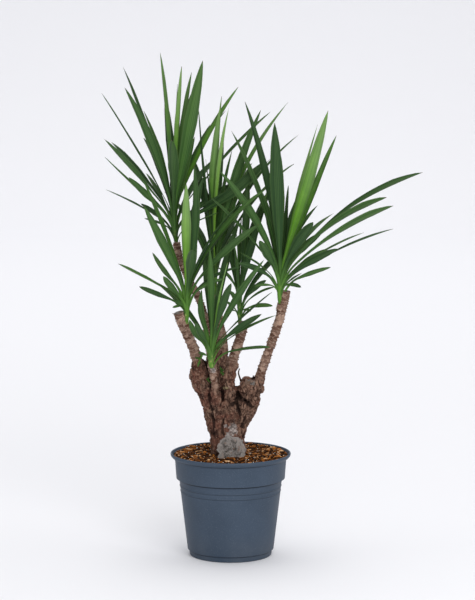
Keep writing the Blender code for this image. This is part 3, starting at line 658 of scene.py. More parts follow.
# %% [markdown]
# ## Skin of a leaf
# Old leaves are a deep bluish green with a dull grey shine, young ones a light yellowish green. The base is a
# light green, and almost cream where it leaves the wood. Fine veins run the whole length, with a paler rib in
# the middle and a thin pale edge, and the very tip is dried to brown. This follows the blade's own UV map,
# and the numbers stored in the mesh: its age, its chance, its underside and the way from its foot.

# %% Leaf finish, with the colour of a leaf from old to young
LEAF_AGES = [(0.05, (0.016, 0.046, 0.012)), (0.32, (0.026, 0.073, 0.016)), (0.60, (0.045, 0.135, 0.013)),
             (0.80, (0.118, 0.312, 0.012)), (1.0, (0.228, 0.475, 0.045))]


def leaf_finish():
    """The skin of a yucca leaf, for every leaf and shoot."""
    skin = Finish("yucca_leaf", roughness=0.42)
    uv = skin.node("ShaderNodeUVMap", uv_map="UVMap").outputs["UV"]
    split = skin.node("ShaderNodeSeparateXYZ")
    skin.put(split.inputs[0], uv)
    across, along = split.outputs[0], split.outputs[1]
    youth = skin.stored("Youth")
    chance = skin.stored("Chance")
    from_foot = skin.stored("FromFoot")
    # Green by age, a little different in each leaf and from patch to patch
    aged = skin.math("ADD", youth, skin.times(skin.math("SUBTRACT", chance, 0.5), 0.26))
    patches = skin.noise(skin.place(), 20.0, 3.0)
    aged = skin.math("ADD", aged, skin.span(patches, 0.3, 0.7, -0.06, 0.06))
    body = skin.ramp(aged, LEAF_AGES)
    # Painted shade on the edges and on one half of the channel, a painted sheen along the middle near the
    # shoot, a painted pale sheen on the tips of young leaves, and paler undersides
    from_rib = skin.math("ABSOLUTE", skin.math("SUBTRACT", across, 0.5))
    # Painted shade toward the edges, and over the half of the channel that turns from the light
    body = skin.mix(skin.span(from_rib, 0.20, 0.46, 0.0, 0.65), body, (0.021, 0.062, 0.013))
    body = skin.mix(skin.span(across, 0.46, 0.53, 0.30, 0.0), body, (0.014, 0.044, 0.012))
    # Painted sheen: a light stripe along the middle of the blade, near the shoot
    painted_sheen = skin.times(skin.span(from_rib, 0.03, 0.17, 0.55, 0.0), skin.span(along, 0.15, 0.75, 1.0, 0.0))
    body = skin.mix(painted_sheen, body, (0.085, 0.225, 0.028))
    # Painted pale sheen toward the tips of young leaves
    painted_tip_sheen = skin.times(skin.span(along, 0.45, 0.95), skin.span(youth, 0.5, 0.9, 0.10, 0.64))
    body = skin.mix(painted_tip_sheen, body, (0.290, 0.440, 0.185))
    under = skin.times(skin.stored("Under"), skin.span(youth, 0.45, 0.85, 0.36, 0.12))
    body = skin.mix(under, body, (0.052, 0.115, 0.038))
    # Broad bands, fine veins, the rib and the margin
    bands = skin.noise(uv, 1.0, 2.0, 0.5, stretch=(13.0, 0.7, 1.0))
    body = skin.mix(skin.span(bands, 0.50, 0.62, 0.0, 0.50), body, (0.115, 0.215, 0.060))
    body = skin.mix(skin.span(bands, 0.34, 0.46, 0.60, 0.0), body, (0.014, 0.040, 0.009))
    veins = skin.noise(uv, 1.0, 2.0, 0.6, stretch=(95.0, 1.2, 1.0))
    body = skin.mix(skin.span(veins, 0.50, 0.78, 0.0, 0.40), body, (0.085, 0.170, 0.045))
    body = skin.mix(skin.span(veins, 0.20, 0.45, 0.40, 0.0), body, (0.012, 0.030, 0.010))
    rib = skin.times(skin.span(from_rib, 0.0, 0.045, 1.0, 0.0), skin.span(along, 0.25, 0.95, 0.75, 0.0))
    body = skin.mix(skin.times(rib, 0.5), body, (0.150, 0.270, 0.070))
    margin = skin.span(from_rib, 0.478, 0.497)
    body = skin.mix(skin.times(margin, 0.45), body, (0.200, 0.250, 0.090))
    # The light green foot with its cream base, some old leaves in a deeper shade, and the dry point
    green = skin.stored("Fresh")
    fresh = skin.times(skin.span(from_foot, 0.030, 0.090, 0.80, 0.0), green)
    body = skin.mix(fresh, body, (0.105, 0.240, 0.038))
    cream = skin.times(skin.span(from_foot, 0.001, 0.011, 0.80, 0.0), green)
    body = skin.mix(cream, body, (0.330, 0.400, 0.120))
    shade = skin.times(skin.span(chance, 0.15, 0.60, 0.42, 0.0), skin.span(youth, 0.40, 0.65, 1.0, 0.0))
    body = skin.mix(shade, body, (0.014, 0.036, 0.018))
    dry = skin.span(along, 0.988, 0.998)
    body = skin.mix(dry, body, (0.110, 0.065, 0.030))
    skin.colour(body)
    # A dull shine with a fine grain along the leaf
    grain = skin.noise(uv, 1.0, 3.0, 0.6, stretch=(160.0, 6.0, 1.0))
    skin.roughness(skin.span(grain, 0.3, 0.7, 0.40, 0.54))
    skin.bump(skin.math("ADD", veins, skin.times(grain, 0.5)), 0.35, 0.0006)
    skin.shader.inputs["Specular IOR Level"].default_value = 0.09
    return skin.material


LEAF_SKIN = leaf_finish()
print("finish", LEAF_SKIN.name)

# %% [markdown]
# ## A head of leaves
# Each head is one shoot with all its leaves. The shoot is a tapering rod of soft green tissue: a curve along
# the shoot's line, with a radius at each end, that is turned into a mesh. The blades' copies are joined with
# it into one piece, which takes the place of the plain head.

# %% A rod, a shoot and a leaf in place
SHOOT_AT_FOOT = 0.55
SHOOT_AT_HEEL = 0.80
SHOOT_ABOVE_HEEL = 0.76
SHOOT_AT_CROWN = 0.80
SHOOT_SIDES = 20
SHOOT_STEPS = 8
SHOOT_YOUTH = 0.7
SHOOT_CHANCE = 0.5
SHOOT_VEIN = 0.3


def round_rod(name, knots, sides=12, steps=4):
    """A round rod along a smooth line through knots of place and radius."""
    curve = bpy.data.curves.new(name, "CURVE")
    curve.dimensions = "3D"
    curve.bevel_depth = 1.0
    curve.bevel_resolution = sides // 2 - 2
    curve.resolution_u = steps
    curve.use_fill_caps = True
    line = curve.splines.new("BEZIER")
    line.bezier_points.add(len(knots) - 1)
    for knot, (place, radius) in zip(line.bezier_points, knots):
        knot.co = place
        knot.radius = radius
        knot.handle_left_type = knot.handle_right_type = "AUTO"
    thing = bpy.data.objects.new(name, curve)
    bpy.context.scene.collection.objects.link(thing)
    pick(thing)
    bpy.ops.object.convert(target="MESH")
    return bpy.context.object


def place_leaf(name, points, from_foot, youth, chance):
    """A copy of the flat blade with its own mesh, its points moved to their places."""
    leaf = flat_blade.copy()
    leaf.data = flat_blade.data.copy()
    leaf.name = name
    bpy.context.scene.collection.objects.link(leaf)
    leaf.data.vertices.foreach_set("co", points.ravel())
    store(leaf, "Youth", np.full(len(points), youth))
    store(leaf, "Chance", np.full(len(points), chance))
    store(leaf, "Under", SKIN < 0)
    store(leaf, "FromFoot", from_foot)
    return leaf


def shoot_points(head):
    """The ends of a shoot: its heel where it has one, its foot and its crown."""
    return [seen_at(*head[end]) for end in ("heel", "foot", "crown") if end in head]


def make_shoot(name, ends, thick):
    """The green stem inside a head, from its heel in the wood, or its foot, to its crown."""
    low = SHOOT_AT_HEEL if len(ends) > 2 else SHOOT_AT_FOOT
    radii = [thick[0] * CM * low, *[thick[0] * CM * SHOOT_ABOVE_HEEL] * (len(ends) - 2),
             thick[1] * CM * SHOOT_AT_CROWN]
    shoot = round_rod(name, list(zip(ends, radii)), SHOOT_SIDES, SHOOT_STEPS)
    points = np.array([vertex.co for vertex in shoot.data.vertices])
    from_foot = np.linalg.norm(points - np.array(ends[0]), axis=1)
    if not shoot.data.uv_layers:
        shoot.data.uv_layers.new(name="UVMap")
    layer = shoot.data.uv_layers[0]
    layer.name = "UVMap"
    for loop in shoot.data.loops:
        layer.data[loop.index].uv = (SHOOT_VEIN, float(from_foot[loop.vertex_index]))
    store(shoot, "Youth", np.full(len(points), SHOOT_YOUTH))
    store(shoot, "Chance", np.full(len(points), SHOOT_CHANCE))
    store(shoot, "Under", np.zeros(len(points)))
    store(shoot, "FromFoot", from_foot)
    return shoot


def join(name, pieces):
    """Make one piece of many, under a name of its own."""
    bpy.ops.object.select_all(action="DESELECT")
    for piece in pieces:
        piece.select_set(True)
    bpy.context.view_layer.objects.active = pieces[0]
    bpy.ops.object.join()
    whole = bpy.context.object
    whole.name = name
    return whole


def leafy(whole, node, fresh=1.0):
    """Give a joined head its finish, and put it in the place of its plain node."""
    store(whole, "Fresh", np.full(len(whole.data.vertices), fresh))
    whole.data.materials.clear()
    whole.data.materials.append(LEAF_SKIN)
    smooth(whole, 55)
    keep(whole, "leaf", node)


# %% Build the heads
chances = np.random.default_rng(11)
for node, head in HEADS.items():
    ends = shoot_points(head)
    pieces = [make_shoot(node + "_shoot", ends, head["thick"])]
    for leaf in head_leaves(head):
        chance = chances.random(4)
        points, from_foot = grow_leaf(leaf, ends, 1.0, chance)
        pieces.append(place_leaf(node + "_leaf", points, from_foot, leaf[6], chance[3]))
    leafy(join(node + "_leaves", pieces), node, head.get("fresh", 1.0))

# %% [markdown]
# ## Small sprouts on the bark
# Dormant buds have broken through the old bark: each is a short green bud with three leaves two or three
# centimetres long. They are made like the large heads, only smaller.

# %% Sprouts, in cm
SPROUT_ARCH = 0.002
SPROUT_SCALE = 0.2
SPROUT_YOUTH = 0.52
SPROUT_ROOT = 0.7
SPROUT_SHOWN = 0.9
SPROUTS = {
    "sprout_left": {
        "foot": (-8.9, 57.2, 2.1), "crown": (-9.0, 57.3, 3.2), "thick": (0.30, 0.22), "wide": 0.8,
        "tips": [(-9.5, 55.1, 4.0), (-8.3, 59.3, 4.0), (-10.3, 57.9, 4.0)],
    },
    "sprout_middle": {
        "foot": (-2.7, 53.4, -0.6), "crown": (-2.7, 53.5, 0.8), "thick": (0.30, 0.22), "wide": 0.8,
        "tips": [(-3.0, 55.3, 1.9), (-2.3, 52.6, 2.2), (-1.9, 54.4, 2.0)],
    },
    "sprout_low": {
        "foot": (-6.3, 50.9, 1.8), "crown": (-6.3, 51.0, 2.9), "thick": (0.25, 0.20), "wide": 0.6,
        "tips": [(-6.9, 51.9, 3.5), (-6.3, 52.2, 3.7), (-5.9, 50.4, 3.6)],
    },
}
for node, sprout in SPROUTS.items():
    ends = [seen_at(*sprout["foot"]), seen_at(*sprout["crown"])]
    pieces = [make_shoot(node + "_bud", ends, sprout["thick"])]
    root = ends[0].lerp(ends[1], SPROUT_ROOT)
    for spot in sprout["tips"]:
        tip = seen_at(*spot)
        chance = chances.random(4)
        leaf = (root, tip, SPROUT_ARCH, sprout["wide"] * CM, SPROUT_SHOWN, LEAF_OUTLINE, SPROUT_YOUTH)
        points, from_foot = grow_leaf(leaf, ends, SPROUT_SCALE, chance)
        pieces.append(place_leaf(node + "_leaf", points, from_foot / SPROUT_SCALE, SPROUT_YOUTH, chance[3]))
    leafy(join(node + "_leaves", pieces), node)
bpy.data.objects.remove(flat_blade)

# %% [markdown]
# ## The trunk
# A yucca's trunk is a thick stem that was sawn off and has sprouted canes since. It is blended from round
# rods along the butt, the limbs and the canes: the rods are joined, and a voxel remesh melts them into one
# skin, as grown wood runs together. Burls, hollows and bark are then pressed into that skin, point by point.

# %% Limbs and canes, in cm: across, up, toward, radius
LIMBS = {
    "butt": [(-0.9, 14, 0, 4.5), (-0.95, 26, 0, 4.75), (-0.95, 31, 0, 4.95), (-1.0, 35, 0, 5.0),
             (-1.0, 39, 0, 4.8), (-0.9, 42.5, -0.3, 3.6)],
    "front_stump": [(0.0, 31.6, 0.5, 4.1), (0.2, 31.0, 3.8, 4.3), (0.3, 30.4, 7.6, 4.25)],
    "left_web": [(-7.2, 49.0, -0.4, 1.7), (-7.6, 53.5, -0.6, 1.5), (-8.2, 57.0, -0.2, 1.0)],
    "saddle": [(1.2, 39, -0.4, 3.2), (1.8, 44.0, -1.3, 2.7), (2.0, 49.6, -1.8, 2.0)],
    "left_knob": [(-12.0, 64.0, 3.2, 1.2), (-12.7, 67.6, 4.5, 1.4)],
    "right_knob": [(14.3, 69.8, 0.8, 1.1), (14.6, 73.5, 1.0, 1.3)],
    "left_limb": [(-2.8, 35.5, 0.4, 3.3), (-4.3, 40.2, 0.5, 3.25), (-5.4, 44, 0.5, 2.85),
                  (-7.0, 48, 0.6, 2.7), (-9.2, 52, 0.8, 2.85), (-9.4, 55, 0.9, 2.25),
                  (-9.6, 57.5, 1.1, 1.65)],
    "left_cane": [(-9.6, 57, 1.1, 1.7), (-10.5, 60, 1.8, 1.5), (-12.3, 64.2, 3.0, 1.45),
                  (-13.9, 67.8, 4.2, 1.45), (-15.3, 71.8, 5.3, 1.5)],
    "upper_left_cane": [(-3.6, 48, -0.6, 2.0), (-4.8, 54, -1.2, 1.9), (-5.6, 59, -1.8, 1.5),
                        (-6.4, 64, -2.5, 1.25), (-7.3, 69, -3.2, 1.15), (-9.2, 75.2, -4.1, 1.08),
                        (-12.6, 81.6, -5.1, 1.02), (-14.6, 86.8, -5.7, 1.05), (-15.6, 91.4, -6.0, 1.15)],
    "low_front_cane": [(-3.2, 39, 1.6, 2.0), (-4.0, 44, 3.2, 1.15), (-4.5, 48.5, 4.3, 1.1),
                       (-4.9, 52, 4.9, 1.2), (-5.3, 56.3, 5.4, 1.4)],
    "back_cane": [(-1.6, 38, -0.8, 3.2), (-2.3, 46, -1.4, 2.2), (-2.5, 52, -1.9, 2.0),
                  (-2.6, 58, -2.7, 1.9), (-2.7, 63, -3.6, 1.78), (-3.6, 68, -4.6, 1.65),
                  (-4.2, 72, -5.6, 1.4), (-4.5, 76.2, -6.5, 1.2)],
    "middle_cane": [(-0.6, 40, 0.6, 3.2), (-0.5, 46, 0.5, 2.3), (-0.3, 51, 0.1, 1.95), (0.1, 55, -0.7, 1.5),
                    (1.1, 58.7, -1.7, 1.45), (2.2, 62, -2.6, 1.42), (3.1, 65, -3.2, 1.42),
                    (3.9, 68.8, -4.0, 1.4)],
    "right_limb": [(0.6, 35, 0, 3.6), (2.1, 39, 0, 3.0), (4.2, 42.5, 0, 3.15), (5.1, 45.5, 0, 3.1),
                   (5.4, 48.6, 0, 3.0), (5.2, 50.2, 0.2, 2.5), (5.8, 51.6, 0.3, 1.7)],
    "stump_lip": [(6.2, 50.5, -0.3, 0.9), (6.5, 52.0, -0.6, 0.6), (6.3, 53.0, -0.7, 0.3)],
    "right_cane": [(6.2, 45.5, 0.1, 2.0), (8.1, 51, 0.3, 1.65), (9.5, 55.4, 0.4, 1.36),
                   (11.0, 59.8, 0.5, 1.28), (12.5, 64, 0.6, 1.3), (13.9, 68.3, 0.7, 1.34),
                   (15.0, 72.6, 0.8, 1.36), (16.3, 78.4, 1.0, 1.36)],
}
TRUNK_VOXEL = 0.00205
print("limbs", len(LIMBS))

# %% Blend the rods into one skin
SOFTEN_SHARE = 0.6


def rod(name, rows, sides=12, steps=4):
    """A round rod from rows of across, up, toward and radius, in cm."""
    return round_rod(name, [(seen_at(*row[:3]), row[3] * CM) for row in rows], sides, steps)


def melt(thing, voxel, rounds):
    """One skin around all the parts of a piece, softened a little."""
    skin = thing.modifiers.new("Melt together", "REMESH")
    skin.mode = "VOXEL"
    skin.voxel_size = voxel
    soften = thing.modifiers.new("Soften", "SMOOTH")
    soften.factor = SOFTEN_SHARE
    soften.iterations = rounds
    return apply_modifiers(thing)


trunk = melt(join("trunk_wood", [rod(name, rows) for name, rows in LIMBS.items()]), TRUNK_VOXEL, 4)
print("trunk points", len(trunk.data.vertices))

# %% [markdown]
# ## Burls and hollows
# What makes the trunk look grown is how its parts swell and meet: a round burl under each old cut, and deep
# folds where two limbs press together. Burls are balls set into the surface, and the folds are worn by bent
# rods that are taken away. Both are found by looking from the front: where the line of sight meets the wood
# is where the ball or the rod goes, sunk by the last number.

# %% Look from the front
def on_wood(surface, across, up):
    """Where the line of sight over (across, up) of the front view meets the wood, and its direction."""
    way = (seen_at(across, up, 0) - VIEWPOINT).normalized()
    return surface.ray_cast(VIEWPOINT, way)[0], way


def surface_of(thing):
    """A tree of a piece's faces, which finds where a ray meets them."""
    points = [vertex.co for vertex in thing.data.vertices]
    return BVHTree.FromPolygons(points, [face.vertices for face in thing.data.polygons])


wood = surface_of(trunk)
print("the butt is seen at", [round(x, 3) for x in on_wood(wood, 0, 35)[0]])

# %% Add burls, in cm: across, up, radius, how deep it is sunk
BURLS = [
    (5.3, 49.2, 2.7, 1.5), (-0.4, 46.3, 1.6, 0.5), (-9.4, 53.0, 2.5, 1.7), (6.6, 45.0, 2.0, 1.2),
    (-3.4, 41.6, 2.3, 1.6), (3.7, 41.2, 2.0, 1.2), (-6.9, 48.0, 2.0, 1.4), (0.2, 41.5, 1.6, 1.0),
    (-4.1, 36.6, 1.9, 1.4), (2.6, 36.6, 1.8, 1.4), (-1.4, 52.0, 1.6, 1.1), (0.9, 55.6, 1.4, 1.0),
    (-0.9, 36.3, 1.8, 1.4), (8.0, 49.0, 1.6, 1.2),
]

balls = [trunk]
for across, up, radius, sunk in BURLS:
    place, way = on_wood(wood, across, up)
    middle = place + way * sunk * CM
    bpy.ops.object.select_all(action="DESELECT")
    bpy.ops.mesh.primitive_ico_sphere_add(subdivisions=3, radius=radius * CM, location=middle)
    balls.append(bpy.context.object)
trunk = melt(join("trunk_wood", balls), TRUNK_VOXEL, 5)
print("trunk points", len(trunk.data.vertices))

# %% Wear the folds, in cm: across, up, radius, how deep it is sunk
FOLDS = {
    "left": [(-7.6, 57.0, 0.5, 0.2), (-6.7, 53.4, 0.65, 0.7), (-6.1, 50.6, 0.65, 0.9),
             (-6.3, 47.7, 0.5, 0.6), (-6.0, 45.0, 0.4, 0.2), (-5.4, 42.6, 0.3, 0.0)],
    "middle": [(-2.8, 55.2, 0.4, 0.4), (-2.6, 50.6, 0.5, 0.8), (-2.2, 46.9, 0.5, 0.6),
               (-2.9, 44.0, 0.35, 0.1)],
    "notch": [(1.8, 51.5, 0.7, 2.0), (1.9, 48.8, 0.8, 1.8), (1.9, 46.8, 0.9, 1.5), (1.3, 45.1, 0.6, 0.7),
              (0.4, 44.0, 0.3, 0.0)],
    "under_burl": [(1.9, 47.6, 0.7, 1.3), (3.2, 46.2, 0.7, 0.9), (4.8, 45.0, 0.6, 0.5),
                   (6.2, 43.4, 0.35, 0.0)],
    "below_notch": [(1.5, 45.4, 0.7, 0.8), (2.3, 43.2, 0.5, 0.3), (2.8, 41.2, 0.3, 0.0)],
    "left_furrow": [(-5.0, 42.6, 0.3, 0.1), (-4.9, 39.4, 0.3, 0.1), (-4.7, 35.2, 0.25, 0.0)],
    "right_furrow": [(4.2, 40.4, 0.3, 0.1), (3.3, 37.6, 0.3, 0.1), (3.4, 34.6, 0.25, 0.0)],
    "stump_lip": [(6.0, 51.7, 0.3, 0.15), (6.7, 52.3, 0.4, 0.2)],
    "low_furrow": [(-1.7, 40.6, 0.3, 0.1), (-2.4, 38.0, 0.3, 0.1), (-2.0, 35.4, 0.25, 0.0)],
}

wood = surface_of(trunk)
fold_lines = []
fold_rods = []
for name, rows in FOLDS.items():
    knots = []
    for across, up, radius, sunk in rows:
        place, way = on_wood(wood, across, up)
        if place is None:
            place = seen_at(across, up, 0)
        knots.append((place + way * sunk * CM, radius * CM))
    fold_rods.append(round_rod("fold_" + name, knots))
    fold_lines.append(np.array([(*place, radius) for place, radius in knots]))
take_away(trunk, melt(join("worn_away", fold_rods), TRUNK_VOXEL, 1), "Folds")
melt(trunk, TRUNK_VOXEL, 4)
print("trunk points", len(trunk.data.vertices))

# %% [markdown]
# ## Which limb is a point on?
# Bark follows its limb: cracks run along the old wood, and the scars of fallen leaves ring the canes. So
# every point of the skin looks up the nearest place on a limb's line, and from it gets how far along the
# limb and how far from its line it is, and whether that is old wood or a young cane. Most of a limb's radius
# is taken off the distance, so that the skin of a thick limb isn't given to a thin one beside it.

# %% Look up the limb below each point
CANE_FROM = {"left_cane": 0, "left_knob": 0, "right_knob": 0, "upper_left_cane": 57, "low_front_cane": 47,
             "back_cane": 58, "middle_cane": 53, "right_cane": 50}
NO_CANE = 999
CANE_BLEND = 5.0
LINE_STEPS = 36
LINE_SHIFT = 0.37
RADIUS_SHARE = 0.9
SKIN_BATCHES = 60

lines = []
for name, rows in LIMBS.items():
    # Place in metres, height on the front view in cm, radius in metres
    path = resample([(*seen_at(*row[:3]), row[1], row[3] * CM) for row in rows], LINE_STEPS)
    slopes = unit(np.gradient(path[:, :3], axis=0))
    run = np.concatenate([[0], np.cumsum(np.linalg.norm(np.diff(path[:, :3], axis=0), axis=1))])
    young = ease((path[:, 3] - CANE_FROM.get(name, NO_CANE)) / CANE_BLEND)
    lines.append(np.column_stack([path[:, :3], slopes, run + len(lines) * LINE_SHIFT, young, path[:, 4]]))
lines = np.concatenate(lines)
line_points, line_ways, line_along, line_cane, line_radius = (
    lines[:, 0:3], lines[:, 3:6], lines[:, 6], lines[:, 7], lines[:, 8])

skin = np.array([vertex.co for vertex in trunk.data.vertices])
skin_normals = np.array([vertex.normal for vertex in trunk.data.vertices])
nearest = np.concatenate([
    np.argmin(np.linalg.norm(part[:, None] - line_points[None], axis=2) - RADIUS_SHARE * line_radius, axis=1)
    for part in np.array_split(skin, SKIN_BATCHES)])
offset = skin - line_points[nearest]
ways = line_ways[nearest]
lengthwise = line_along[nearest] + (offset * ways).sum(1)
limb_radius = np.linalg.norm(offset - ways * (offset * ways).sum(1, keepdims=True), axis=1)
cane_share = line_cane[nearest]
print("cane share of the skin", round(float(cane_share.mean()), 2))

# %% [markdown]
# ## Crumpled bark and leaf scars
# The old wood is crumpled: lumps of every size, with short cracks that mostly run lengthwise. The canes
# still show where leaves sat. Each fallen leaf left a crescent that reaches about a quarter of the way round,
# and they climb the cane in a spiral, each turned on by the golden angle. Every point of a cane looks up its
# nearest scar. The lower lip of a scar stands out and is frayed. The sum of all this moves the point along
# its normal, and how deep it lies is stored, so that the finish can paint light on the raised bark and leave
# the hollows darker.

# %% Find the scar of each point
GOLDEN_ANGLE = 2.399963
SCAR_CLIMB = 0.0026
SCAR_HALF_WIDTH = 0.0095
SCAR_HALF_HEIGHT = 0.0056
SCAR_BEND = 0.35
SCAR_TURN_DRIFT = 0.5
SCAR_CLIMB_DRIFT = 0.9
SCARS_TRIED = 5
FAR_AWAY = 9.0


def drawn(numbers, key):
    """A number from 0 to 1 for each whole number, as if drawn, but always the same one."""
    mixed = np.sin(numbers * key) * 43758.5453
    return mixed - np.floor(mixed)


front = np.array([0.0, -1.0, 0.0])
toward_front = unit(front - ways * (ways @ front)[:, None])
sideways = np.cross(ways, toward_front)
round_turn = np.arctan2((offset * sideways).sum(1), (offset * toward_front).sum(1))
level = np.floor(lengthwise / SCAR_CLIMB)
best = np.full(len(skin), FAR_AWAY)
scar_number = np.zeros(len(skin))
scar_up = np.zeros(len(skin))
scar_across = np.zeros(len(skin))
for step in range(-SCARS_TRIED, SCARS_TRIED + 1):
    number = level + step
    drift = drawn(number, 12.9898) - 0.5
    turn = round_turn - (number * GOLDEN_ANGLE + drift * SCAR_TURN_DRIFT)
    turn = (turn + np.pi) % (2 * np.pi) - np.pi
    across = turn * limb_radius / SCAR_HALF_WIDTH
    middle = (number + 0.5 + drift * SCAR_CLIMB_DRIFT) * SCAR_CLIMB
    up = (lengthwise - middle) / SCAR_HALF_HEIGHT - SCAR_BEND * across ** 2
    away = np.hypot(across, up)
    nearer = away < best
    best = np.where(nearer, away, best)
    scar_number = np.where(nearer, number, scar_number)
    scar_up = np.where(nearer, up, scar_up)
    scar_across = np.where(nearer, across, scar_across)
scar_draw = drawn(scar_number, 78.233)
print("scars", len(np.unique(scar_number[cane_share > 0.5])))

# %% Relief of the bark
BARK_RELIEF = 0.0044
BARK_RELIEF_SIZE = 0.030
RIDGE_HEIGHT = 0.0020
CANE_RELIEF = 0.0016
CANES_FROM = (0.50, 0.60)
SCAR_LIP = 0.0028
CRACK_DEPTH = 0.0042
KNOB_HEIGHT = 0.0036
FINE_HEIGHT = 0.0007
CRACK_SIZE = 0.0115
KNOB_SIZE = 0.0140
RIDGE_SIZE = 0.021
FINE_SIZE = 0.0042
FRAY_SIZES = (0.0035, 0.0016)
WARP_SIZE = 0.019
WARP_REACH = 0.006
LENGTHWAYS_PRESS = -0.72


def noises(places, octaves=1):
    """The value of a cloudy pattern at each place, one unit in size."""
    if octaves == 1:
        return np.array([noise.noise(place) for place in places])
    return np.array([noise.fractal(place, 0.8, 2.0, octaves) for place in places])


up_canes = np.clip((skin[:, 2] - CANES_FROM[0]) / (CANES_FROM[1] - CANES_FROM[0]), 0, 1)
swell = noises(skin / BARK_RELIEF_SIZE * (1, 1, 0.7)) * between((BARK_RELIEF, CANE_RELIEF), up_canes)
warp = np.column_stack([noises(skin / WARP_SIZE + shift) for shift in (0, 17, 31)]) * WARP_REACH
crumple = skin + warp
lengthways = crumple + ways * ((crumple * ways).sum(1, keepdims=True) * LENGTHWAYS_PRESS)
cracks = 1 - 2.4 * np.abs(noises(lengthways / CRACK_SIZE, 2))
knobs = noises(crumple / KNOB_SIZE, 2)
ridges = 1 - 3.0 * np.abs(noises(lengthways / RIDGE_SIZE, 2))
fine = noises(skin / FINE_SIZE)
fray = noises(skin / FRAY_SIZES[0]) + 0.6 * noises(skin / FRAY_SIZES[1])
crack = np.clip(cracks - 0.35, 0, 1)
lip = ease(1 - np.abs(scar_up + 0.62 + 0.25 * fray) / 0.42) * ease((1.5 - np.abs(scar_across)) / 0.6)
under_lip = ease(1 - np.abs(scar_up + 1.10 + 0.2 * fray) / 0.35)
old_bark = KNOB_HEIGHT * knobs + RIDGE_HEIGHT * ridges - CRACK_DEPTH * crack + FINE_HEIGHT * fine
lips = SCAR_LIP * lip * (0.35 + 0.9 * scar_draw) * (1 + 0.5 * fray) - 0.0009 * under_lip
cane_bark = lips + 0.0005 * fine + 0.0008 * (scar_draw - 0.5)
bark = (1 - cane_share) * old_bark + cane_share * cane_bark
print("bark relief, mm", round(float(bark.min()) * 1000, 2), "to", round(float(bark.max()) * 1000, 2))

# %% Find what lies in a fold, for painted shade: dark within the rod that wore it, and fading out beyond
FOLD_STEPS = 40
FOLD_SHADE = (1.9, 0.9)

fold_points = np.concatenate([resample(rows, FOLD_STEPS) for rows in fold_lines])
fold_tree = kdtree.KDTree(len(fold_points))
for number, row in enumerate(fold_points):
    fold_tree.insert(row[:3], number)
fold_tree.balance()
found = [fold_tree.find(point) for point in skin]
away = np.array([hit[2] / fold_points[hit[1], 3] for hit in found])
painted_fold_shade = ease((FOLD_SHADE[0] - away) / FOLD_SHADE[1])
print("points in a fold", int((painted_fold_shade > 0.5).sum()))

# %% Move the points, and store what the bark's finish reads
RELIEF_TO_TONE = 0.0025

skin = skin + skin_normals * (swell + bark)[:, None]
trunk.data.vertices.foreach_set("co", skin.ravel())
# The relief, for the painted light on the raised bark
store(trunk, "Relief", bark / RELIEF_TO_TONE)
# Painted shade in the cracks of the old wood, and a painted shadow under the lip of each cane scar
store(trunk, "CrackAndLipShade", np.maximum(crack * (1 - cane_share), under_lip * cane_share * 0.5))
store(trunk, "Cane", cane_share)
store(trunk, "Lip", lip)
store(trunk, "ScarDraw", scar_draw)
# Painted shade in the folds
store(trunk, "FoldShade", painted_fold_shade)
print("stored in the trunk", [layer.name for layer in trunk.data.attributes if layer.data_type == "FLOAT"])

# %% [markdown]
# ## Grey and yellow patches
# Above the saw cut on the front there is a grey, wax-like patch with a speck beside it. Another one lies on
# the short cane in front, and a yellowish scar between them. Each is an oval on the front view with a ragged
# edge, stored as a number.

# %% Mark the patches, in cm: across, up, half width, half height
GREY_PATCHES = [(0.8, 36.9, 1.3, 1.9), (-1.4, 37.8, 0.55, 0.5), (-5.0, 54.2, 0.9, 0.9)]
YELLOW_SCARS = [(-1.5, 49.0, 0.85, 0.42)]
RAGGED_SIZE = 0.007
FACES_FRONT = -0.1


def on_front_view(points):
    """Where points are seen on the front view: the slide along the line of sight is undone."""
    eye = np.array(VIEWPOINT)
    share = -eye[1] / (points[:, 1] - eye[1])
    return eye + (points - eye) * share[:, None]


seen = on_front_view(skin) / CM
edge = noises(skin / RAGGED_SIZE, 2) * 0.5
for name, ovals in (("Grey", GREY_PATCHES), ("Yellow", YELLOW_SCARS)):
    mark = np.zeros(len(skin))
    for across, up, half_wide, half_high in ovals:
        away = np.hypot((seen[:, 0] - across) / half_wide, (seen[:, 2] - up) / half_high) + edge
        mark = np.maximum(mark, ease((1.1 - away) / 0.35))
    mark *= skin_normals[:, 1] < FACES_FRONT
    store(trunk, name, mark)
    print(name, "points", int((mark > 0.5).sum()))

# %% [markdown]
# ## Saw cuts
# Where the grower took a limb off, the wood ends in a flat face that has weathered to grey. The cuts come
# after the bark, so that their edges stay sharp: a cube is placed in front of each face and taken away with
# a Boolean. The cubes carry the sawn wood's material, and the cut faces keep it. One more cut, hidden in the
# soil, is the flat foot that the trunk stands on.

# %% Bark and sawn wood, with each face's middle, the way it faces and its width in cm
SAWN_FACES = [
    ((0.3, 31.0, 6.2), (0.04, -0.97, 0.24), 9.6),
    ((-15.0, 71.0, 5.2), (-0.30, -0.18, 0.94), 5.0),
    ((16.1, 77.3, 1.0), (0.08, -0.10, 0.99), 5.0),
    ((-4.9, 54.4, 6.2), (0.42, -0.72, 0.56), 3.6),
    ((5.7, 50.9, 2.0), (-0.10, -0.72, 0.69), 3.0),
    ((3.9, 68.4, -4.0), (0.20, -0.10, 0.97), 4.0),
]


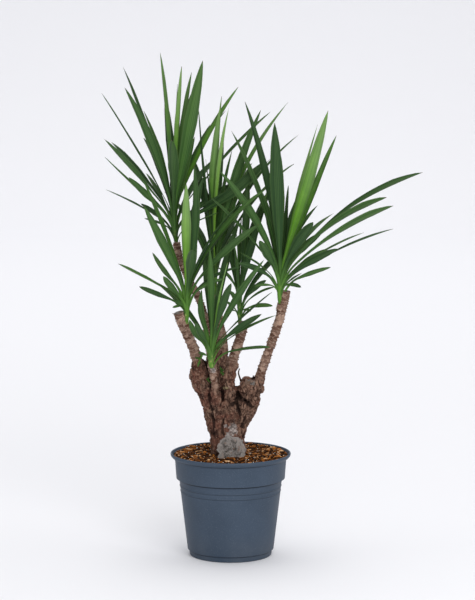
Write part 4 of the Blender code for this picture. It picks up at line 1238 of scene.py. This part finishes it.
def bark_finish():
    """Reddish brown, threaded old wood, paler ringed canes, and painted shade, almost black, in the cracks
    and folds.
    """
    bark = Finish("yucca_bark", roughness=0.9)
    place = bark.place()
    cane = bark.stored("Cane")
    lip = bark.stored("Lip")
    relief = bark.stored("Relief")
    streaks = bark.noise(place, 1.0, 5.0, 0.65, stretch=(230.0, 230.0, 80.0))
    blotches = bark.noise(place, 32.0, 4.0)
    red = bark.noise(place, 17.0, 2.0)
    # Old wood: dark and light streaks, red and black blotches, painted light on the ridges, threads and
    # flecks
    old = bark.mix(bark.span(streaks, 0.38, 0.62), (0.042, 0.021, 0.015), (0.262, 0.150, 0.104))
    old = bark.mix(bark.span(red, 0.42, 0.58, 0.0, 0.72), old, (0.152, 0.058, 0.040))
    old = bark.mix(bark.span(blotches, 0.52, 0.66, 0.0, 0.8), old, (0.034, 0.016, 0.012))
    # Painted light on the raised bark, by the stored relief
    old = bark.mix(bark.span(relief, 0.25, 1.10, 0.0, 0.60), old, (0.280, 0.170, 0.118))
    threads = bark.noise(place, 1.0, 3.0, 0.7, stretch=(420.0, 420.0, 120.0))
    threads = bark.math("ADD", bark.span(threads, 0.60, 0.66), bark.span(threads, 0.34, 0.40, 1.0, 0.0))
    flecks = bark.span(bark.noise(place, 190.0, 2.0), 0.60, 0.68)
    old = bark.mix(bark.times(threads, 0.45), old, (0.340, 0.220, 0.160))
    old = bark.mix(bark.times(flecks, 0.6), old, (0.430, 0.300, 0.230))
    # Canes: a tone for each scar, brown blotches, pale lips and dark streaks
    drawn_tone = bark.span(bark.stored("ScarDraw"), 0.15, 0.85)
    scar = bark.mix(drawn_tone, (0.112, 0.055, 0.037), (0.425, 0.284, 0.215))
    scar = bark.mix(bark.span(blotches, 0.42, 0.60, 0.0, 0.75), scar, (0.140, 0.074, 0.052))
    scar = bark.mix(bark.times(lip, 0.70), scar, (0.475, 0.330, 0.248))
    scar = bark.mix(bark.span(streaks, 0.52, 0.70, 0.0, 0.65), scar, (0.062, 0.030, 0.022))
    scar = bark.mix(bark.times(flecks, 0.6), scar, (0.540, 0.420, 0.345))
    # Both by the share of cane, then painted shade in cracks, under scar lips and in folds, and grey and
    # yellow patches
    body = bark.mix(cane, old, scar)
    # Painted shade in the cracks and under the scar lips
    body = bark.mix(bark.times(bark.stored("CrackAndLipShade"), 0.95), body, (0.013, 0.006, 0.005))
    # Painted shade in the folds
    body = bark.mix(bark.times(bark.stored("FoldShade"), 0.86), body, (0.012, 0.006, 0.005))
    mottle = bark.span(bark.noise(place, 90.0, 3.0), 0.36, 0.60)
    grey = bark.mix(mottle, (0.500, 0.435, 0.405), (0.130, 0.110, 0.100))
    body = bark.mix(bark.times(bark.stored("Grey"), 0.92), body, grey)
    body = bark.mix(bark.times(bark.stored("Yellow"), 0.85), body, (0.330, 0.260, 0.150))
    bark.colour(body)
    bark.bump(bark.math("ADD", streaks, bark.times(flecks, 0.4)), 1.0, 0.0026)
    bark.shader.inputs["Specular IOR Level"].default_value = 0.12
    return bark.material


def sawn_finish():
    """Grey weathered wood. The big cut has a paler rim, and the cuts far above it are stained browner."""
    sawn = Finish("sawn_wood", roughness=0.85)
    place = sawn.place()
    from_middle = sawn.node("ShaderNodeVectorMath", operation="DISTANCE")
    sawn.put(from_middle.inputs[0], place)
    from_middle.inputs[1].default_value = seen_at(*SAWN_FACES[0][0])
    away = from_middle.outputs["Value"]
    ragged = sawn.math("ADD", away, sawn.span(sawn.noise(place, 60.0), 0.3, 0.7, -0.008, 0.008))
    grain = sawn.noise(place, 75.0, 6.0, 0.75)
    cracks = sawn.from_seams(place, 22.0)
    fibres = sawn.noise(place, 1.0, 4.0, 0.7, stretch=(330.0, 90.0, 120.0))
    body = sawn.mix(sawn.span(grain, 0.40, 0.60), (0.060, 0.053, 0.048), (0.250, 0.223, 0.205))
    body = sawn.mix(sawn.span(fibres, 0.55, 0.67, 0.0, 0.60), body, (0.370, 0.345, 0.325))
    stain = sawn.math("ADD", sawn.noise(place, 60.0, 4.0), sawn.span(away, 0.06, 0.12, 0.0, 0.12))
    body = sawn.mix(sawn.span(stain, 0.58, 0.64, 0.0, 0.65), body, (0.190, 0.105, 0.066))
    body = sawn.mix(sawn.span(cracks, 0.0, 0.022, 0.22, 0.0), body, (0.060, 0.042, 0.032))
    rim = sawn.times(sawn.span(ragged, 0.026, 0.040, 0.0, 0.50), sawn.span(ragged, 0.050, 0.070, 1.0, 0.0))
    body = sawn.mix(rim, body, (0.330, 0.300, 0.280))
    sawn.colour(body)
    sawn.bump(sawn.math("ADD", grain, sawn.span(cracks, 0.0, 0.03, 0.0, 0.3)), 1.0, 0.0018)
    sawn.shader.inputs["Specular IOR Level"].default_value = 0.12
    return sawn.material


BARK = bark_finish()
SAWN = sawn_finish()

# %% Saw
SAW_DEPTH = 0.05
TRUNK_SEAT_HEIGHT = 0.160
SEAT_SAW_WIDTH = 0.35


def saw(middle, facing, width):
    """A cube that takes away what lies in front of a sawn face."""
    bpy.ops.object.select_all(action="DESELECT")
    bpy.ops.mesh.primitive_cube_add(size=1.0)
    cube = bpy.context.object
    cube.scale = (width, width, SAW_DEPTH)
    cube.rotation_euler = facing.to_track_quat("Z", "Y").to_euler()
    cube.location = middle + facing * SAW_DEPTH / 2
    bpy.ops.object.transform_apply(location=True, rotation=True, scale=True)
    cube.data.materials.append(SAWN)
    return cube


trunk.data.materials.clear()
trunk.data.materials.append(BARK)
saws = [saw(Vector((0, 0, TRUNK_SEAT_HEIGHT)), Vector((0, 0, -1)), SEAT_SAW_WIDTH)]
for middle, facing, width in SAWN_FACES:
    saws.append(saw(seen_at(*middle), Vector(facing).normalized(), width * CM))
for tool in saws:
    take_away(trunk, tool, "Saw")
smooth(trunk, 60)
keep(trunk, "bark", "trunk")

# %% [markdown]
# ## A dried twig
# One dead shoot is left on the right stump. It is a thin bent rod, drawn as a curve and made a mesh. It
# shares the bark's finish, and the numbers stored in it make it dark with the near-black of the painted
# fold shade.

# %% Twig
TWIG = [(3.6, 49.2, 0.6, 0.36), (2.8, 51.6, 1.0, 0.26), (2.3, 53.6, 1.3, 0.2), (2.6, 54.7, 1.3, 0.15)]
# The twig is made dark with the same near-black that paints shade into the folds
TWIG_MARKS = {"Cane": 1.0, "ScarDraw": 0.1, "FoldShade": 0.9}

twig = rod("dried_twig", TWIG, sides=10, steps=6)
for mark, value in TWIG_MARKS.items():
    store(twig, mark, np.full(len(twig.data.vertices), value))
twig.data.materials.clear()
twig.data.materials.append(BARK)
smooth(twig, 50)
keep(twig, "bark")

# %% [markdown]
# ## The pot
# The pot is turned: one outline, spun about the middle. The outline is drawn as a chain of points by
# extruding a single point, spun round in 128 steps, closed where it meets itself, and its corners are then
# rounded with a bevel. Six drain holes are cut through the floor.

# %% Pot outline: radius and height
POT_TURN_STEPS = 128
POT_WALL = 0.003
POT_OUTLINE = [
    (0.0, POT_WALL), (0.1145, POT_WALL), (0.1175, 0.0180), (0.1225, 0.0210), (0.1464, 0.2225),
    (0.1550, 0.2290), (0.1588, 0.2800), (0.1600, 0.2870), (0.1672, 0.2925), (0.1690, 0.2965),
    (0.1700, 0.2998), (0.1722, 0.3010), (0.1742, 0.2998), (0.1750, 0.2970), (0.1738, 0.2930),
    (0.1690, 0.2875), (0.1632, 0.2848), (0.1618, 0.2795), (0.1580, 0.2270), (0.1510, 0.2250),
    (0.1490, 0.2190), (0.1474, 0.2068), (0.1486, 0.2050), (0.1474, 0.2032),
    (0.1456, 0.1918), (0.1468, 0.1900), (0.1456, 0.1882),
    (0.1255, 0.0180), (0.1208, 0.0155), (0.1192, 0.0020), (0.1175, 0.0), (0.0, 0.0),
]
DRAIN_HOLES = 6
DRAIN_HOLE_RADIUS = 0.006
DRAIN_RING_RADIUS = 0.085
CORNER_ROUNDING = 0.0007

bpy.ops.object.select_all(action="DESELECT")
bpy.ops.mesh.primitive_plane_add(size=0.01, location=(0, 0, 0))
pot = bpy.context.object
pot.name = "nursery_pot"
bpy.ops.object.mode_set(mode="EDIT")
bpy.ops.mesh.select_mode(type="VERT")
bpy.ops.mesh.select_all(action="SELECT")
bpy.ops.mesh.merge(type="CENTER")
bpy.ops.transform.translate(value=(POT_OUTLINE[0][0], 0, POT_OUTLINE[0][1]))
for (radius, height), (next_radius, next_height) in zip(POT_OUTLINE, POT_OUTLINE[1:]):
    step = (next_radius - radius, 0, next_height - height)
    bpy.ops.mesh.extrude_region_move(TRANSFORM_OT_translate={"value": step})
bpy.ops.mesh.select_all(action="SELECT")
bpy.ops.mesh.spin(steps=POT_TURN_STEPS, angle=2 * math.pi, center=(0, 0, 0), axis=(0, 0, 1))
bpy.ops.mesh.select_all(action="SELECT")
bpy.ops.mesh.remove_doubles(threshold=0.00001)
bpy.ops.mesh.normals_make_consistent(inside=False)
bpy.ops.object.mode_set(mode="OBJECT")
print("pot points", len(pot.data.vertices))

# %% Drain holes and rounded corners
for number in range(DRAIN_HOLES):
    turn = 2 * math.pi * (number + 0.5) / DRAIN_HOLES
    bpy.ops.object.select_all(action="DESELECT")
    bpy.ops.mesh.primitive_cylinder_add(
        vertices=24, radius=DRAIN_HOLE_RADIUS, depth=POT_WALL * 3,
        location=(DRAIN_RING_RADIUS * math.cos(turn), DRAIN_RING_RADIUS * math.sin(turn), POT_WALL / 2))
    take_away(pot, bpy.context.object, "Drain hole")
rounding = pot.modifiers.new("Rounded corners", "BEVEL")
rounding.width = CORNER_ROUNDING
rounding.segments = 2
rounding.limit_method = "ANGLE"
rounding.angle_limit = math.radians(18)
apply_modifiers(pot)
smooth(pot, 40)
print("pot points with rounded corners", len(pot.data.vertices))

# %% [markdown]
# ## Recycled plastic
# The pot is dark slate-blue plastic with a satin skin. Close up it has a fine grain, slightly uneven colour,
# and a breath of dust near the ground. Below each step and ridge, where little light gets, shade is painted
# in as a dark crease.

# %% Pot finish, with the height, half height and depth of the painted shade of each crease
POT_CREASE_SHADES = [(0.2855, 0.0022, 0.60), (0.2240, 0.0028, 0.80), (0.2025, 0.0014, 0.50), (0.1875, 0.0014, 0.50),
               (0.0150, 0.0018, 0.60)]


def pot_finish():
    """Slate blue with clouds, specks and dust, and with painted shade in the creases."""
    plastic = Finish("pot_plastic_skin", roughness=0.5)
    place = plastic.place()
    clouds = plastic.noise(place, 9.0, 5.0)
    grain = plastic.noise(place, 900.0, 2.0)
    body = plastic.mix(plastic.span(clouds, 0.3, 0.7), (0.046, 0.067, 0.099), (0.057, 0.081, 0.118))
    specks = plastic.span(plastic.noise(place, 420.0, 1.0), 0.60, 0.70)
    body = plastic.mix(plastic.times(specks, 0.40), body, (0.105, 0.138, 0.175))
    split = plastic.node("ShaderNodeSeparateXYZ")
    plastic.put(split.inputs[0], place)
    height = split.outputs[2]
    dust = plastic.times(plastic.span(height, 0.0, 0.10, 1.0, 0.0),
                         plastic.span(clouds, 0.35, 0.75, 0.0, 0.25))
    body = plastic.mix(dust, body, (0.150, 0.150, 0.150))
    # Painted shade in a narrow band below each step and ridge
    for crease, half, depth in POT_CREASE_SHADES:
        away = plastic.math("ABSOLUTE", plastic.math("SUBTRACT", height, crease))
        body = plastic.mix(plastic.span(away, half * 0.4, half, depth, 0.0), body, (0.010, 0.014, 0.020))
    plastic.colour(body)
    plastic.roughness(plastic.span(clouds, 0.3, 0.7, 0.46, 0.58))
    plastic.bump(grain, 0.4, 0.0003)
    plastic.shader.inputs["Specular IOR Level"].default_value = 0.16
    return plastic.material


pot.data.materials.clear()
pot.data.materials.append(pot_finish())
keep(pot, "pot_plastic", "pot")

# %% [markdown]
# ## The soil
# The filling is coco fibre and bark chips, brown to orange, with dark gaps and white grains of perlite. The
# plain solid of the soil stays as the dark bed. On it lie chips and crumbs: a few rough shapes, each an
# icosphere that is squashed and jittered, are copied thousands of times, dropped on the bed and turned at
# random. Their tone drifts from place to place, so that light ones lie in clumps.

# %% Soil bed
def soil_finish():
    """Dark crumbs, for the gaps between the chips."""
    soil = Finish("soil_bed", roughness=1.0)
    place = soil.place()
    crumb = soil.noise(place, 260.0, 5.0, 0.7)
    body = soil.mix(soil.span(crumb, 0.35, 0.7), (0.012, 0.006, 0.003), (0.120, 0.050, 0.018))
    soil.colour(body)
    soil.bump(crumb, 1.0, 0.004)
    soil.shader.inputs["Specular IOR Level"].default_value = 0.1
    return soil.material


soil_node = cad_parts["soil"]
soil_node.data.materials.clear()
soil_node.data.materials.append(soil_finish())
bed = surface_of(soil_node)
wood = surface_of(trunk)

# %% Chips, crumbs and perlite
SOIL_REACH = 0.1655
BED_LOWEST = 0.285
DROP_HEIGHT = 0.35
DROP_REACH = 0.2
WOOD_REACH = 0.06
CHIP_TILT = 1.4
CHIP_RISE = 0.22
CLUMP_SIZE = 0.016
CLUMP_TONE = (0.98, 0.85)
DOWN = Vector((0, 0, -1))


def rough_chip(seed, squash):
    """A lump with twenty uneven facets, about one across."""
    draw = np.random.default_rng(seed)
    lump = bmesh.new()
    bmesh.ops.create_icosphere(lump, subdivisions=1, radius=0.5)
    for vertex in lump.verts:
        vertex.co = Vector(np.array(vertex.co) * squash * (0.75 + 0.5 * draw.random(3)))
    points = np.array([vertex.co for vertex in lump.verts])
    faces = [[vertex.index for vertex in face.verts] for face in lump.faces]
    lump.free()
    return points, faces


def heap(name, lumps, tone_name):
    """One piece out of many lumps, each given as its points, its faces and its tone."""
    starts = np.cumsum([0] + [len(points) for points, _, _ in lumps])
    faces = [[start + index for index in face] for start, lump in zip(starts, lumps) for face in lump[1]]
    mesh = bpy.data.meshes.new(name)
    mesh.from_pydata(np.concatenate([lump[0] for lump in lumps]), [], faces)
    thing = bpy.data.objects.new(name, mesh)
    bpy.context.scene.collection.objects.link(thing)
    store(thing, tone_name, np.repeat([lump[2] for lump in lumps], [len(lump[0]) for lump in lumps]))
    return thing


def scatter(name, count, sizes, shapes, tones, sink, seed):
    """Drop copies of the shapes on the bed, beside the wood, each turned, sized and toned by its own draw."""
    draw = np.random.default_rng(seed)
    lumps = []
    while len(lumps) < count:
        spin = draw.random(8)
        radius = SOIL_REACH * math.sqrt(spin[0])
        turn = 2 * math.pi * spin[1]
        size = between(sizes, spin[2] ** 2)
        place = Vector((radius * math.cos(turn), radius * math.sin(turn), DROP_HEIGHT))
        if radius + size * 0.5 > SOIL_REACH + 0.001:
            continue
        ground = bed.ray_cast(place, DOWN, DROP_REACH)[0]
        if ground is None or ground.z < BED_LOWEST:
            continue
        if wood.ray_cast(place, DOWN, WOOD_REACH)[0] is not None:
            continue
        shape, shape_faces = shapes[int(spin[3] * len(shapes))]
        turned = Matrix.Rotation(spin[4] * 6.3, 3, "Z") @ Matrix.Rotation((spin[5] - 0.5) * CHIP_TILT, 3, "X")
        lifted = np.array(ground) + (0, 0, size * (CHIP_RISE - sink * spin[6]))
        moved = shape @ np.array(turned).T * size + lifted
        clump = CLUMP_TONE[0] + CLUMP_TONE[1] * noise.noise(place / CLUMP_SIZE)
        lumps.append((moved, shape_faces, between(tones, spin[7] ** 1.2) * clump))
    return heap(name, lumps, "Tone")


flat_chips = [rough_chip(seed, (1.0, 0.55, 0.30)) for seed in range(5)]
blunt_crumbs = [rough_chip(seed, (1.0, 0.8, 0.7)) for seed in range(10, 14)]
chips = scatter("bark_chips", 1450, (0.005, 0.0175), flat_chips, (0.0, 1.0), 0.1, 3)
crumbs = scatter("soil_crumbs", 3000, (0.0025, 0.0065), blunt_crumbs, (0.0, 1.0), 0.1, 4)
perlite = scatter("perlite", 240, (0.0019, 0.0038), blunt_crumbs, (0.0, 1.0), -1.0, 5)
print("faces of chips, crumbs and perlite", [len(thing.data.polygons) for thing in (chips, crumbs, perlite)])

# %% Chip finishes, with the colour of a chip from dark to light
CHIP_TONES = [(0.0, (0.008, 0.003, 0.001)), (0.36, (0.036, 0.012, 0.003)), (0.60, (0.210, 0.066, 0.010)),
              (0.86, (0.500, 0.180, 0.032)), (1.0, (0.680, 0.400, 0.200))]


def chip_finish():
    """Brown to orange, with darker fibres."""
    chip = Finish("bark_chip", roughness=0.95)
    place = chip.place()
    body = chip.ramp(chip.stored("Tone"), CHIP_TONES)
    fibres = chip.noise(place, 500.0, 3.0)
    chip.colour(chip.mix(chip.span(fibres, 0.4, 0.75, 0.0, 0.6), body, (0.060, 0.026, 0.012)))
    chip.bump(fibres, 0.8, 0.001)
    chip.shader.inputs["Specular IOR Level"].default_value = 0.1
    return chip.material


def perlite_finish():
    """White, and pitted like foam."""
    grains = Finish("perlite_grain", roughness=0.9)
    pits = grains.noise(grains.place(), 900.0, 2.0)
    grains.colour(grains.mix(pits, (0.62, 0.58, 0.52), (0.86, 0.84, 0.80)))
    grains.bump(pits, 0.6, 0.0006)
    return grains.material


chip_material = chip_finish()
for thing in (chips, crumbs):
    thing.data.materials.append(chip_material)
perlite.data.materials.append(perlite_finish())
for thing in (chips, crumbs, perlite):
    keep(thing, "soil")

# %% [markdown]
# ## Loose flakes on the canes
# Dried leaf bases still cling to the canes and break up their outline. A flake is one of the rough lumps,
# pressed thin. It stands where the bark is still whole, with its root sunk in, and leans out from the cane.

# %% Flakes
FLAKE_COUNT = 150
FLAKE_SIZES = (0.0035, 0.0085)
FLAKE_LEAN = (0.5, 1.2)
FLAKE_FROM_BARK = 0.0004
FLAKE_OUT = 0.3

flake_shapes = [rough_chip(seed, (0.6, 1.0, 0.14)) for seed in range(20, 24)]
draw = np.random.default_rng(8)
flakes = []
for spot in draw.permutation(np.flatnonzero(cane_share > 0.9)):
    if len(flakes) == FLAKE_COUNT:
        break
    if wood.find_nearest(Vector(skin[spot]))[3] > FLAKE_FROM_BARK:
        continue
    lean = between(FLAKE_LEAN, draw.random())
    size = between(FLAKE_SIZES, draw.random() ** 2)
    around = unit(np.cross(ways[spot], skin_normals[spot])[None])[0]
    along = ways[spot] * math.cos(lean) + skin_normals[spot] * math.sin(lean)
    shape, shape_faces = flake_shapes[len(flakes) % len(flake_shapes)]
    turned = np.stack([around, along, np.cross(around, along)])
    flakes.append((shape @ turned * size + skin[spot] + along * size * FLAKE_OUT, shape_faces, draw.random()))
cane_flakes = heap("cane_flakes", flakes, "ScarDraw")
store(cane_flakes, "Cane", np.ones(len(cane_flakes.data.vertices)))
cane_flakes.data.materials.append(BARK)
keep(cane_flakes, "bark")
print("flakes", len(flakes))
